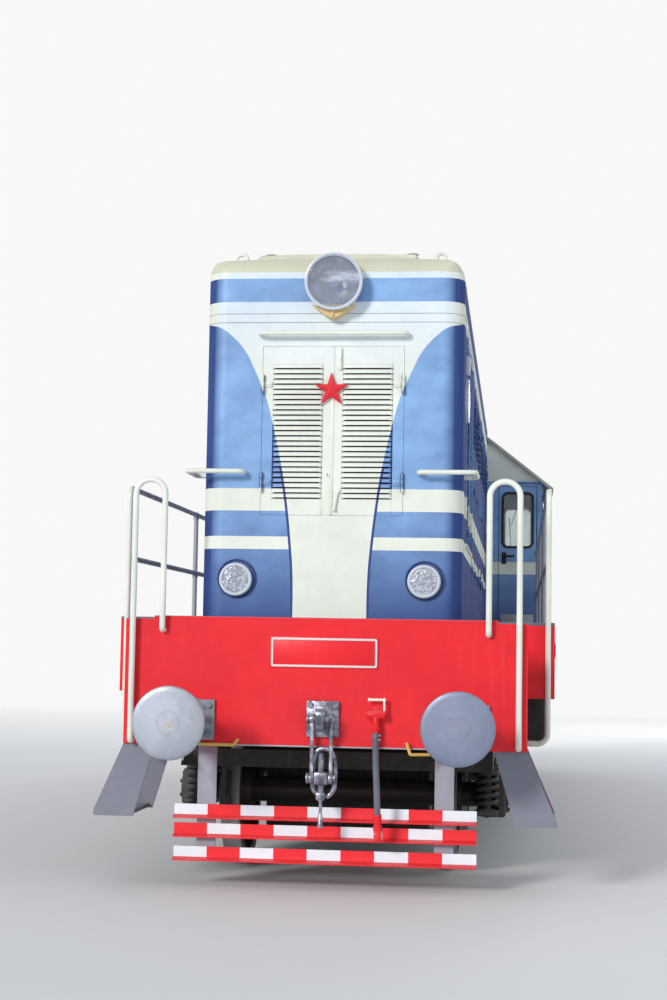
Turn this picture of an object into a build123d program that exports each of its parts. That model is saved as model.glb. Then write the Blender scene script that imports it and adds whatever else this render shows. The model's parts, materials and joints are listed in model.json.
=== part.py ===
from build123d import *
import math
import os

os.makedirs("parts", exist_ok=True)

# Whole vehicle: X across, Y along with the long bonnet towards -Y, Z up from the flange tips
length_over_buffers = 13260
buffer_length = 620
flange_depth = 28
running_gap = 6
panel_gap = 6

# Wheels, axles and bogies
wheel_diameter = 1000
wheel_spacing_inside = 1360
wheel_width = 135
flange_thickness = 32
flange_foot = 8.4
flange_root = 20
tread_fall = 4
rim_depth = 75
web_thickness = 34
hub_diameter = 290
hub_length = 190
axle_diameter = 175
journal_diameter = 130
journal_reach = 1120
journal_shoulder = 20
journal_end_gap = 10
bearing_clearance = 1
bogie_distance = 3280
bogie_spacing = length_over_buffers - 2 * bogie_distance
bogie_wheelbase = 2400
bogie_frame_length = 3720
bogie_beam_bottom = 700
bogie_beam_top = 900
bogie_beam_inner = 975
bogie_beam_thickness = 90
bogie_drop = 150
bogie_end_bevel = 60
bogie_spring_gap = 20
transom_rise = 60
end_transom_depth = 60
end_transom_height = 120
pivot_diameter = 280
pivot_bottom = 640
side_bearer_diameter = 240
side_bearer_offset = 1020
side_bearer_sink = 40
axle_box_width = 300
axle_box_height = 290
axle_box_inner = 960
axle_box_outer = 1150
spring_diameter = 170
spring_offset = 250
spring_seat = 410
seat_thickness = 30
seat_width = 150
motor_length = 1180
motor_size = 610
motor_gap = 100
motor_corner = 90
motor_drop = 10
shoe_clearance = 8
shoe_thickness = 50
shoe_width = 74
shoe_length = 330
shoe_inset = 3
hanger_width = 30
hanger_overlap = 10
hanger_height = 820
hanger_bar = 40

# Underframe
beam_half_width = 1290
beam_bottom = 890
beam_top = 1690
beam_plate = 30
beam_box_depth = 210
well_inner = 1000
well_depth = 630
frame_half_width = 1470
side_sill_bottom = 1205
sill_plate = 30
main_sill_bottom = 1120
main_sill_offset = 520
main_sill_width = 180
bearer_shares = (-0.34, -0.166, -0.083, 0, 0.083, 0.166, 0.34)
bearer_thickness = 60
bearer_gap = 40
bearer_pad_drop = 100
bolster_length = 500
deck_thickness = 20
deck_lip_half_width = 1105
deck_corner_cut = 60

# Buffers and draw gear
buffer_spacing = 1750
buffer_height = 1050
buffer_head_diameter = 450
buffer_head_thickness = 30
buffer_crown = 8
buffer_worn_diameter = 110
buffer_base_width = 360
buffer_base_height = 257
buffer_base_thickness = 26
buffer_sleeve_diameter = 235
buffer_sleeve_length = 330
buffer_plunger_diameter = 175
buffer_step = 12
buffer_neck = 40
buffer_rim_bevel = 8
hook_plate_width = 208
hook_plate_height = 229
hook_plate_thickness = 28
hook_plate_centre = 1070
hook_width = 52
hook_outline = (
    # reach from the beam, height over the pin
    (0, -45),
    (90, -75),
    (190, -70),
    (230, -20),
    (230, 60),
    (190, 75),
    (170, 20),
    (150, 5),
    (120, 50),
    (0, 60),
)
screw_reach = 60
link_pin_height = 1070
link_pin_diameter = 40
link_pin_end = 12
trunnion_height = 701
link_gap = 96
link_thickness = 26
link_width = 62
link_waist = 40
trunnion_diameter = 66
trunnion_length = 190
bow_diameter = 34
bow_half_width = 62
bow_top = 880
bow_bottom = 590
bow_foot_inset = 36
bow_foot_rise = 60
bow_bend = 34
tommy_bar_bottom = 390
tommy_bar_diameter = 26
tommy_bar_overlap = 20

# Hand-holds under the beams
hold_inset = 40
hold_outer = 700
hold_inner = 560
hold_hook = 535
hold_drop = 30
hold_rise = 45
hold_reach = 85
hold_bend = 12
hold_diameter = 20

# Guard in front of the wheels
guard_distance = 780
guard_width = 1950
guard_bar_tops = (501, 380, 231)
guard_bar_height = 72
guard_bar_thickness = 8
guard_flange_depth = 62
guard_flange_fall = 16
guard_post_offset = 767
guard_post_width = 124
guard_post_thickness = 12
guard_post_bottom = 160

# Corner steps
step_top_inner = 1082
step_top_outer = 1290
step_bottom_inner = 1218
step_bottom_outer = 1475
step_plate_bottom = 425
step_plate_thickness = 12
step_plate_start = 20
step_plate_edge = 40
tread_thickness = 25
tread_heights = (455, 875, 1290)
tread_inner_gap = 15

# Handrails
tube_diameter = 38
end_rail_inner = 1043
end_rail_outer = 1235
end_rail_top = 2586
end_rail_inner_foot = 1619
end_rail_outer_foot = 910
end_rail_standoff = 45
end_rail_foot_bend = 24
end_rail_bend = 94
side_rail_x = 1425
side_rail_top = 2590
side_rail_middle = 2110
step_rail_foot = 910
step_rail_bend = 70
step_rail_return = 150
post_pitch = 2390
post_count = 3
bonnet_rail_diameter = 32
bonnet_rail_height = 3585
bonnet_rail_half_width = 487
bonnet_rail_standoff = 60
bonnet_rail_bend = 30
corner_rail_height = 2665
corner_rail_inner = 577
corner_rail_reach = 88
corner_rail_back = 130
corner_rail_bend = 40

# Bonnets
bonnet_front = 870
bonnet_half_width = 860
bonnet_edge_height = 4085
bonnet_top = 4117
bonnet_roof_radius = 140
bonnet_corner_radius = 145
bonnet_end_radius = 120
bonnet_wall = 40
nose_depth = 330
roof_split_height = 3930
rear_bonnet_length = 1190
cab_length = 2200
grille_half_width = 465
grille_bottom = 2390
grille_top = 3500
door_thickness = 36
meeting_gap = 10
grille_hinge_proud = 18
hinge_diameter = 24
louvre_count = 26
louvre_rise = 119
louvre_pitch = 34.4
louvre_inner = 64
louvre_outer = 398
louvre_blade_height = 32
louvre_blade_thickness = 4
louvre_tilt = 24
louvre_setback = 2
louvre_overlap = 4
grille_hinge_rise = 210
grille_hinge_drop = 250
hinge_length = 150
hinge_strap = 60
hinge_strap_height = 40
latch_reach = 36
upper_latch_offset = 45
upper_latch_drop = 78
upper_latch_width = 26
upper_latch_length = 156
lower_latch_offset = 30
lower_latch_rise = 90
lower_latch_width = 24
lower_latch_length = 140
lower_latch_lean = 10
star_radius = 119
star_drop = 288
star_centre = -8
star_standoff = 16
star_thickness = 10
star_apex = 26
star_stud_offset = 34
star_stud_diameter = 28
star_slant = 55
side_door_width = 500
side_door_bottom = 1900
side_door_top = 3700
side_door_louvres = 9
side_door_start = 4900
side_vent_height = 480
side_vent_drop = 120
side_vent_margin = 60
side_blade_thickness = 5
side_blade_share = 0.92
side_hinge_distance = 250
side_grip_inset = 60
side_grip_size = (60, 20, 160)
shutter_start = 1480
shutter_end = 2900
shutter_bottom = 2250
shutter_top = 3700
shutter_blades = 18
shutter_frame = 50
shutter_blade_thickness = 6
shutter_blade_share = 0.9
hatch_half_width = 580
hatch_rise = 35
hatch_corner = 60
hatch_slope = 45
hatch_start = 1000
hatch_end = 3200
exhaust_distance = 5200
exhaust_width = 420
exhaust_length = 840
exhaust_rise = 90
exhaust_wall = 40
exhaust_sink = 10
hook_distance = 1255
hook_offset = 654
hook_rod_diameter = 36
hook_curl = 90
hook_tip_drop = 50
hook_bend = 40
hook_foot_rise = 6
hook_top = 4233
headlight_diameter = 385
headlight_lens_diameter = 340
headlight_height = 3935
headlight_reach = 125
marker_diameter = 264
marker_lens_diameter = 221
marker_height = 1957
marker_offset = 618
marker_reach = 50
lens_thickness = 12

# Cab
cab_half_width = 1480
cab_wall = 40
cab_eave_height = 3420
cab_roof_shoulder = 955
cab_shoulder_height = 3830
cab_roof_top = 4160
cab_roof_half_width = 1600
cab_roof_thickness = 40
cab_roof_overhang = 60
cab_door_inner = 1000
cab_door_outer = 1416
cab_door_top = 3340
cab_door_thickness = 36
cab_door_hinge_proud = 12
cab_handle_x = 1059
cab_handle_height = 2562
cab_handle_size = 24
cab_handle_reach = 50
cab_lever_length = 110
cab_lever_thickness = 16
cab_lever_height = 20
cab_hinge_distance = 250
cab_hinge_diameter = 16
cab_hinge_length = 100
cab_hinge_strap = 40
cab_hinge_strap_height = 30
door_sill = 20
cab_window_inner = 1042
cab_window_outer = 1374
cab_window_bottom = 2666
cab_window_top = 3269
cab_window_radius = 60
side_window_length = 780
side_window_gap = 160
glass_thickness = 8
desk_half_width = 900
desk_depth = 480
desk_height = 1000
seat_size = 420
seat_height = 480
seat_back_height = 520
seat_back_thickness = 70
seat_pad = 90
seat_column_diameter = 120
seat_offset = 950
seat_setback = 150

# Engine, tank and boxes under the frame
engine_start = 3900
engine_to_cab = 1200
engine_half_width = 550
engine_height = 1750
tank_length = 1700
tank_half_width = 1150
tank_bottom = 420
tank_corner = 60
reservoir_diameter = 300
reservoir_length = 1500
reservoir_y = 1060
reservoir_height = 850
reservoir_strap = 60
reservoir_rounding = 40
battery_length = 1500
battery_depth = 300
battery_height = 520

# Brake pipe at the front buffer beam
cock_offset = 341
cock_height = 1105
cock_reach = 50
cock_body = 56
cock_barrel_diameter = 54
cock_barrel_length = 100
cock_spout_diameter = 48
cock_lever_offset = 50
cock_lever_thickness = 14
cock_lever_width = 20
cock_lever_height = 105
cock_lever_length = 100
hose_top = 993
hose_diameter = 41
hose_drop = 870
hose_bends = (
    # across and back from the cock, height
    (7, -8, 715),
    (15, 0, 560),
    (17, 26, 433),
)
hose_neck_diameter = 52
hose_neck_length = 50
hose_head_size = (46, 90, 88)
hose_head_offset = 80


def above_rail(height):
    return flange_depth + height


def from_front(distance):
    return distance - length_over_buffers / 2


def write_piece(piece, name):
    piece.part.label = name
    export_step(piece.part, f"parts/{name}.step")


# Planes at the buffer faces: local x to the right seen from outside, y up, z outwards
end_planes = {
    "front": Plane(origin=(0, from_front(0), 0), x_dir=(1, 0, 0), z_dir=(0, -1, 0)),
    "rear": Plane(origin=(0, -from_front(0), 0), x_dir=(-1, 0, 0), z_dir=(0, 1, 0)),
}
deck_top = above_rail(beam_top) + deck_thickness
wheel_radius = wheel_diameter / 2
axle_height = above_rail(wheel_radius)
rear_bonnet_end = length_over_buffers - bonnet_front
cab_back = rear_bonnet_end - rear_bonnet_length
cab_front = cab_back - cab_length


# Wheelsets, each an axle with two wheels
def wheel_profile():
    inner = wheel_spacing_inside / 2
    outer = inner + wheel_width
    middle = (inner + outer) / 2
    rim_radius = wheel_radius - rim_depth
    hub_radius = hub_diameter / 2
    web_half = web_thickness / 2
    hub_half = hub_length / 2
    with BuildSketch(Plane.XY) as profile:
        with BuildLine():
            Polyline(
                (middle - hub_half, axle_diameter / 2),
                (middle - hub_half, hub_radius),
                (middle - web_half, hub_radius + web_half),
                (middle - web_half, rim_radius - web_half),
                (inner, rim_radius),
                (inner, wheel_radius + flange_depth),
                (inner + flange_thickness, wheel_radius + flange_foot),
                (inner + flange_thickness + flange_root, wheel_radius),
                (outer, wheel_radius - tread_fall),
                (outer, rim_radius),
                (middle + web_half, rim_radius - web_half),
                (middle + web_half, hub_radius + web_half),
                (middle + hub_half, hub_radius),
                (middle + hub_half, axle_diameter / 2),
                close=True,
            )
        make_face()
    return profile.sketch


def build_wheelset(centre_y):
    with BuildPart() as wheelset:
        with BuildSketch(Plane.XY):
            with BuildLine():
                Polyline(
                    (0, 0),
                    (journal_reach, 0),
                    (journal_reach, journal_diameter / 2),
                    (axle_box_inner - journal_shoulder, journal_diameter / 2),
                    (axle_box_inner - journal_shoulder, axle_diameter / 2),
                    (0, axle_diameter / 2),
                    close=True,
                )
            make_face()
        revolve(axis=Axis.X)
        revolve(wheel_profile(), axis=Axis.X)
        mirror(about=Plane.YZ)
    wheelset.part = wheelset.part.moved(Location((0, centre_y, axle_height)))
    return wheelset


axle_positions = {
    "wheelset_1": -bogie_spacing / 2 - bogie_wheelbase / 2,
    "wheelset_2": -bogie_spacing / 2 + bogie_wheelbase / 2,
    "wheelset_3": bogie_spacing / 2 - bogie_wheelbase / 2,
    "wheelset_4": bogie_spacing / 2 + bogie_wheelbase / 2,
}
for name, centre_y in axle_positions.items():
    write_piece(build_wheelset(centre_y), name)

# Bogie frames: side beams that drop between the axles, transoms and the pivot bolster
bogies = {"front": -bogie_spacing / 2, "rear": bogie_spacing / 2}
half_frame = bogie_frame_length / 2


def bogie_beam_outline(centre_y):
    low = above_rail(bogie_beam_bottom)
    high = above_rail(bogie_beam_top)
    spring_edge = bogie_wheelbase / 2 - spring_offset - spring_diameter / 2
    half_drop = spring_edge - bogie_drop - bogie_spring_gap
    with BuildSketch(Plane.YZ.offset(bogie_beam_inner)) as outline:
        with BuildLine():
            Polyline(
                (centre_y - half_frame, high - bogie_end_bevel),
                (centre_y - half_frame + bogie_end_bevel, high),
                (centre_y + half_frame - bogie_end_bevel, high),
                (centre_y + half_frame, high - bogie_end_bevel),
                (centre_y + half_frame, low),
                (centre_y + half_drop + bogie_drop, low),
                (centre_y + half_drop, low - bogie_drop),
                (centre_y - half_drop, low - bogie_drop),
                (centre_y - half_drop - bogie_drop, low),
                (centre_y - half_frame, low),
                close=True,
            )
        make_face()
    return outline.sketch


transom_length = bogie_wheelbase - axle_diameter - 2 * (motor_gap + motor_size)
for end, centre_y in bogies.items():
    transom_middle = above_rail(bogie_beam_bottom + transom_rise)
    transom_height = bogie_beam_top - bogie_beam_bottom
    with BuildPart() as bogie_frame:
        extrude(bogie_beam_outline(centre_y), amount=bogie_beam_thickness)
        mirror(about=Plane.YZ)
        with Locations((0, centre_y, transom_middle)):
            Box(2 * bogie_beam_inner, transom_length, transom_height)
        end_middle = half_frame - end_transom_depth / 2
        with Locations(
            (0, centre_y - end_middle, transom_middle),
            (0, centre_y + end_middle, transom_middle),
        ):
            Box(2 * bogie_beam_inner, end_transom_depth, end_transom_height)
        bearer_top = main_sill_bottom - bearer_pad_drop
        with Locations(
            (-side_bearer_offset, centre_y, above_rail(bearer_top)),
            (side_bearer_offset, centre_y, above_rail(bearer_top)),
        ):
            Cylinder(
                side_bearer_diameter / 2,
                bearer_top - bogie_beam_top + side_bearer_sink,
                align=(Align.CENTER, Align.CENTER, Align.MAX),
            )
        with Locations((0, centre_y, transom_middle)):
            Hole(pivot_diameter / 2 + running_gap)
    write_piece(bogie_frame, f"bogie_frame_{end}")

# Axle boxes with their springs
for end, centre_y in bogies.items():
    axle_ys = (centre_y - bogie_wheelbase / 2, centre_y + bogie_wheelbase / 2)
    box_length = axle_box_outer - axle_box_inner
    box_x = (axle_box_outer + axle_box_inner) / 2
    with BuildPart() as suspension:
        with Locations(*[(side * box_x, y, axle_height) for y in axle_ys for side in (-1, 1)]):
            Box(box_length, axle_box_width, axle_box_height)
        seat_z = above_rail(spring_seat) - seat_thickness / 2
        spring_x = bogie_beam_inner + bogie_beam_thickness / 2
        with Locations(*[(side * spring_x, y, seat_z) for y in axle_ys for side in (-1, 1)]):
            Box(seat_width, 2 * spring_offset + spring_diameter, seat_thickness)
        spring_places = [
            (side * spring_x, y + step, above_rail(spring_seat))
            for y in axle_ys
            for side in (-1, 1)
            for step in (-spring_offset, spring_offset)
        ]
        with Locations(*spring_places):
            Cylinder(
                spring_diameter / 2,
                bogie_beam_bottom - spring_seat,
                align=(Align.CENTER, Align.CENTER, Align.MIN),
            )
        for y in axle_ys:
            with Locations(Plane(origin=(0, y, axle_height), z_dir=(1, 0, 0))):
                Cylinder(
                    journal_diameter / 2 + bearing_clearance,
                    2 * (journal_reach + journal_end_gap),
                    mode=Mode.SUBTRACT,
                )
    write_piece(suspension, f"suspension_{end}")

# Brake shoes on both sides of each wheel, on hangers from the bogie's side beams
shoe_inner = wheel_radius + shoe_clearance
shoe_outer = shoe_inner + shoe_thickness
shoe_x = wheel_spacing_inside / 2 + wheel_width - shoe_width - shoe_inset
for end, centre_y in bogies.items():
    axle_ys = (centre_y - bogie_wheelbase / 2, centre_y + bogie_wheelbase / 2)
    with BuildPart() as brake_gear:
        for y in axle_ys:
            for way in (-1, 1):
                with BuildSketch(Plane.YZ.offset(shoe_x)):
                    with Locations((y, axle_height)):
                        Circle(shoe_outer)
                        Circle(shoe_inner, mode=Mode.SUBTRACT)
                    with Locations((y + way * shoe_outer, axle_height)):
                        Rectangle(shoe_outer, shoe_length, mode=Mode.INTERSECT)
                extrude(amount=shoe_width)
                hanger_y = y + way * (shoe_outer - hanger_overlap + hanger_width / 2)
                with Locations((shoe_x + shoe_width / 2, hanger_y, axle_height)):
                    Box(
                        hanger_width,
                        hanger_width,
                        above_rail(hanger_height) - axle_height,
                        align=(Align.CENTER, Align.CENTER, Align.MIN),
                    )
                with Locations((shoe_x, hanger_y, above_rail(hanger_height))):
                    Box(
                        bogie_beam_inner - shoe_x,
                        hanger_bar,
                        hanger_bar,
                        align=(Align.MIN, Align.CENTER, Align.CENTER),
                    )
        mirror(about=Plane.YZ)
    write_piece(brake_gear, f"brake_gear_{end}")

# Traction motors hung on the inner side of each axle
for end, centre_y in bogies.items():
    motor_centre = bogie_wheelbase / 2 - axle_diameter / 2 - motor_gap - motor_size / 2
    with BuildPart() as motors:
        with BuildSketch(Plane.YZ.offset(-motor_length / 2)):
            with Locations(
                (centre_y - motor_centre, axle_height - motor_drop),
                (centre_y + motor_centre, axle_height - motor_drop),
            ):
                RectangleRounded(motor_size, motor_size, motor_corner)
        extrude(amount=motor_length)
    write_piece(motors, f"traction_motors_{end}")

# End beams: the plate across the end and the box behind it
well_end = buffer_length + well_depth
with BuildPart() as buffer_beams:
    beam_height = beam_top - beam_bottom
    beam_middle = above_rail((beam_top + beam_bottom) / 2)
    with Locations((0, from_front(buffer_length), beam_middle)):
        Box(
            2 * beam_half_width,
            beam_plate,
            beam_height,
            align=(Align.CENTER, Align.MIN, Align.CENTER),
        )
        Box(
            2 * (well_inner - sill_plate),
            beam_box_depth,
            beam_height,
            align=(Align.CENTER, Align.MIN, Align.CENTER),
        )
    mirror(about=Plane.XZ)
write_piece(buffer_beams, "buffer_beams")

# Sides of the step wells with the bulkheads that the side sills run up to
sill_height = beam_top - side_sill_bottom
sill_middle = above_rail((beam_top + side_sill_bottom) / 2)
with BuildPart() as step_wells:
    with Locations((well_inner - sill_plate, from_front(buffer_length) + beam_plate, sill_middle)):
        Box(
            sill_plate,
            well_depth - beam_plate,
            sill_height,
            align=(Align.MIN, Align.MIN, Align.CENTER),
        )
    with Locations((main_sill_offset + main_sill_width / 2, from_front(well_end), sill_middle)):
        Box(
            frame_half_width - main_sill_offset - main_sill_width / 2,
            sill_plate,
            sill_height,
            align=(Align.MIN, Align.MIN, Align.CENTER),
        )
    mirror(about=Plane.YZ)
    mirror(about=Plane.XZ)
write_piece(step_wells, "step_wells")

# Side sills between the bulkheads
sill_length = length_over_buffers - 2 * (well_end + sill_plate)
with BuildPart() as side_sills:
    with Locations((frame_half_width - sill_plate, 0, sill_middle)):
        Box(sill_plate, sill_length, sill_height, align=(Align.MIN, Align.CENTER, Align.CENTER))
    mirror(about=Plane.YZ)
write_piece(side_sills, "side_sills")

# Main sills between the boxes of the end beams
main_height = beam_top - main_sill_bottom
main_middle = above_rail((beam_top + main_sill_bottom) / 2)
main_length = length_over_buffers - 2 * (buffer_length + beam_box_depth)
with BuildPart() as main_sills:
    with Locations((main_sill_offset, 0, main_middle), (-main_sill_offset, 0, main_middle)):
        Box(main_sill_width, main_length, main_height)
write_piece(main_sills, "main_sills")

# Cross bearers, in three lengths between the sills
sill_spans = (
    # inner end, outer end
    (main_sill_width / 2 - main_sill_offset, main_sill_offset - main_sill_width / 2),
    (main_sill_offset + main_sill_width / 2, frame_half_width - sill_plate),
    (sill_plate - frame_half_width, -main_sill_offset - main_sill_width / 2),
)
bearer_height = sill_height - bearer_gap
with BuildPart() as cross_bearers:
    for share in bearer_shares:
        for inner, outer in sill_spans:
            with Locations((inner, share * length_over_buffers, above_rail(beam_top))):
                Box(
                    outer - inner,
                    bearer_thickness,
                    bearer_height,
                    align=(Align.MIN, Align.CENTER, Align.MAX),
                )
write_piece(cross_bearers, "cross_bearers")

# Bolsters over the bogies with the pivots and the side bearers that meet the bogies' pads
pad_top = main_sill_bottom - bearer_pad_drop
with BuildPart() as bolsters:
    for y in bogies.values():
        for inner, outer in sill_spans:
            with Locations((inner, y, above_rail(beam_top))):
                Box(
                    outer - inner,
                    bolster_length,
                    sill_height,
                    align=(Align.MIN, Align.CENTER, Align.MAX),
                )
        with Locations((0, y, above_rail(pivot_bottom))):
            Cylinder(
                pivot_diameter / 2,
                side_sill_bottom - pivot_bottom,
                align=(Align.CENTER, Align.CENTER, Align.MIN),
            )
        bearer_foot = above_rail(pad_top + running_gap)
        with Locations((side_bearer_offset, y, bearer_foot), (-side_bearer_offset, y, bearer_foot)):
            Cylinder(
                side_bearer_diameter / 2,
                side_sill_bottom - pad_top - running_gap,
                align=(Align.CENTER, Align.CENTER, Align.MIN),
            )
write_piece(bolsters, "bolsters")

# Walkway plate over the whole underframe, cut back over the step wells
with BuildPart() as deck_plate:
    plate_front = from_front(buffer_length)
    plate_well = from_front(well_end)
    with BuildSketch(Plane.XY.offset(above_rail(beam_top))):
        with BuildLine():
            Polyline(
                (-frame_half_width, plate_well),
                (-well_inner, plate_well),
                (-well_inner, plate_front + deck_corner_cut),
                (-deck_lip_half_width, plate_front),
                (deck_lip_half_width, plate_front),
                (well_inner, plate_front + deck_corner_cut),
                (well_inner, plate_well),
                (frame_half_width, plate_well),
                (frame_half_width, -plate_well),
                (well_inner, -plate_well),
                (well_inner, -plate_front - deck_corner_cut),
                (deck_lip_half_width, -plate_front),
                (-deck_lip_half_width, -plate_front),
                (-well_inner, -plate_front - deck_corner_cut),
                (-well_inner, -plate_well),
                (-frame_half_width, -plate_well),
                close=True,
            )
        make_face()
    extrude(amount=deck_thickness)
write_piece(deck_plate, "deck_plate")

# Buffers with bolted base, sleeve, plunger and crowned head
with BuildPart() as buffers:
    buffer_x = buffer_spacing / 2
    buffer_z = above_rail(buffer_height)
    with Locations((buffer_x, from_front(buffer_length), buffer_z)):
        Box(
            buffer_base_width,
            buffer_base_thickness,
            buffer_base_height,
            align=(Align.CENTER, Align.MAX, Align.CENTER),
        )
    head_back = from_front(buffer_head_thickness)
    sleeve_end = from_front(buffer_length - buffer_sleeve_length)
    rim_front = from_front(buffer_crown)
    head_radius = buffer_head_diameter / 2
    worn_radius = buffer_worn_diameter / 2
    with BuildSketch(Plane(origin=(buffer_x, 0, buffer_z))):
        with BuildLine():
            Polyline(
                (worn_radius, from_front(0)),
                (0, from_front(0)),
                (0, from_front(buffer_length)),
                (buffer_sleeve_diameter / 2, from_front(buffer_length)),
                (buffer_sleeve_diameter / 2, sleeve_end),
                (buffer_plunger_diameter / 2, sleeve_end - buffer_step),
                (buffer_plunger_diameter / 2, head_back + buffer_neck),
                (head_radius - buffer_step, head_back),
                (head_radius, head_back - buffer_rim_bevel),
                (head_radius, rim_front),
            )
            ThreePointArc(
                (head_radius, rim_front),
                ((head_radius + worn_radius) / 2, from_front(buffer_crown / 3)),
                (worn_radius, from_front(0)),
            )
        make_face()
    revolve(axis=Axis((buffer_x, 0, buffer_z), (0, 1, 0)))
    mirror(about=Plane.YZ)
    mirror(about=Plane.XZ)
write_piece(buffers, "buffers")

# Screw couplings hanging from their hooks, with plate, links, trunnion, bow and tommy bar
with BuildPart() as couplings:
    for end in end_planes.values():
        base = end.offset(-buffer_length)
        with BuildSketch(base):
            with Locations((0, above_rail(hook_plate_centre))):
                Rectangle(hook_plate_width, hook_plate_height)
        extrude(amount=hook_plate_thickness)
        # Hook seen from the side
        side_view = Plane(
            origin=base.from_local_coords((-hook_width / 2, 0, 0)),
            x_dir=end.z_dir,
            z_dir=end.x_dir,
        )
        up = 1 if side_view.y_dir.Z > 0 else -1
        pin_z = above_rail(link_pin_height)
        with BuildSketch(side_view):
            with BuildLine():
                hook_points = [(reach, up * (pin_z + rise)) for reach, rise in hook_outline]
                Polyline(*hook_points, close=True)
            make_face()
        extrude(amount=hook_width)
        # Two links from the hook's pin down to the trunnion
        for side in (-1, 1):
            link_start = side * link_gap / 2 + (0 if side > 0 else -link_thickness)
            link_view = Plane(
                origin=base.from_local_coords((link_start, 0, screw_reach)),
                x_dir=end.z_dir,
                z_dir=end.x_dir,
            )
            with BuildSketch(link_view):
                with Locations((0, up * pin_z), (0, up * above_rail(trunnion_height))):
                    Circle(link_width / 2)
                with BuildLine():
                    Polyline(
                        (-link_waist / 2, up * pin_z),
                        (link_waist / 2, up * pin_z),
                        (link_waist / 2, up * above_rail(trunnion_height)),
                        (-link_waist / 2, up * above_rail(trunnion_height)),
                        close=True,
                    )
                make_face()
            extrude(amount=link_thickness)
        for height, length, diameter in (
            (pin_z, link_gap + 2 * (link_thickness + link_pin_end), link_pin_diameter),
            (above_rail(trunnion_height), trunnion_length, trunnion_diameter),
        ):
            with Locations(
                Plane(
                    origin=base.from_local_coords((0, height, screw_reach)),
                    z_dir=end.x_dir,
                )
            ):
                Cylinder(diameter / 2, length)
        # Bow looped round the screw, behind the links
        bow_top_z = above_rail(bow_top)
        bow_low_z = above_rail(bow_bottom)
        with BuildLine(base.offset(screw_reach)) as bow_line:
            FilletPolyline(
                (-bow_half_width + bow_foot_inset, bow_low_z),
                (-bow_half_width, bow_low_z + bow_foot_rise),
                (-bow_half_width, bow_top_z),
                (bow_half_width, bow_top_z),
                (bow_half_width, bow_low_z + bow_foot_rise),
                (bow_half_width - bow_foot_inset, bow_low_z),
                radius=bow_bend,
            )
        with BuildSketch(Plane(origin=bow_line.line @ 0, z_dir=bow_line.line % 0)):
            Circle(bow_diameter / 2)
        sweep(path=bow_line.line)
        with BuildSketch(base.offset(screw_reach - tommy_bar_diameter / 2)):
            with Locations((0, (above_rail(trunnion_height) + above_rail(bow_bottom)) / 2)):
                Rectangle(2 * bow_half_width, trunnion_height - bow_bottom)
        extrude(amount=tommy_bar_diameter)
        with BuildSketch(base.offset(screw_reach - tommy_bar_diameter / 2)):
            with Locations((0, (above_rail(bow_bottom) + above_rail(tommy_bar_bottom)) / 2)):
                Rectangle(tommy_bar_diameter, bow_bottom - tommy_bar_bottom + tommy_bar_overlap)
        extrude(amount=tommy_bar_diameter)
write_piece(couplings, "screw_couplings")

# Guard bars with a sloped lower edge, on two flat posts at each end
with BuildPart() as guards:
    for side in (-1, 1):
        with Locations((side * guard_post_offset, from_front(guard_distance), 0)):
            with Locations((0, guard_bar_thickness, above_rail(guard_post_bottom))):
                Box(
                    guard_post_width,
                    guard_post_thickness,
                    beam_bottom - guard_post_bottom,
                    align=(Align.CENTER, Align.MIN, Align.MIN),
                )
    bar_back = from_front(guard_distance) + guard_bar_thickness
    flange_end = bar_back - guard_flange_depth
    flange_slope = guard_flange_fall / guard_flange_depth
    for top in guard_bar_tops:
        bend_height = above_rail(top - guard_bar_height)
        with BuildSketch(Plane.YZ):
            with BuildLine():
                Polyline(
                    (bar_back, above_rail(top)),
                    (bar_back, bend_height),
                    (flange_end, bend_height - guard_flange_fall),
                    (flange_end, bend_height - guard_flange_fall + guard_bar_thickness),
                    (
                        bar_back - guard_bar_thickness,
                        bend_height + guard_bar_thickness * (1 - flange_slope),
                    ),
                    (bar_back - guard_bar_thickness, above_rail(top)),
                    close=True,
                )
            make_face()
        extrude(amount=guard_width / 2, both=True)
    mirror(about=Plane.XZ)
write_piece(guards, "rail_guards")

# Step plates that lean outwards, and the treads between them
plate_places = (buffer_length + step_plate_start, well_end - step_plate_thickness)
riser_top = tread_heights[2] - tread_thickness
with BuildPart() as step_plates:
    for distance in plate_places:
        with BuildSketch(Plane.XZ.offset(-from_front(distance) - step_plate_thickness)):
            with BuildLine():
                Polyline(
                    (step_top_inner, above_rail(beam_bottom)),
                    (step_top_outer, above_rail(beam_bottom)),
                    (step_bottom_outer, above_rail(step_plate_bottom + step_plate_edge)),
                    (step_bottom_outer, above_rail(step_plate_bottom)),
                    (step_bottom_inner, above_rail(step_plate_bottom)),
                    close=True,
                )
            make_face()
        extrude(amount=step_plate_thickness)
    # Risers that hold the inner plates to the bulkhead
    with Locations((step_top_inner, from_front(plate_places[1]), above_rail(beam_bottom))):
        Box(
            step_top_outer - step_top_inner,
            step_plate_thickness,
            riser_top - beam_bottom,
            align=(Align.MIN, Align.MIN, Align.MIN),
        )
    mirror(about=Plane.YZ)
    mirror(about=Plane.XZ)
write_piece(step_plates, "step_plates")

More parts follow.
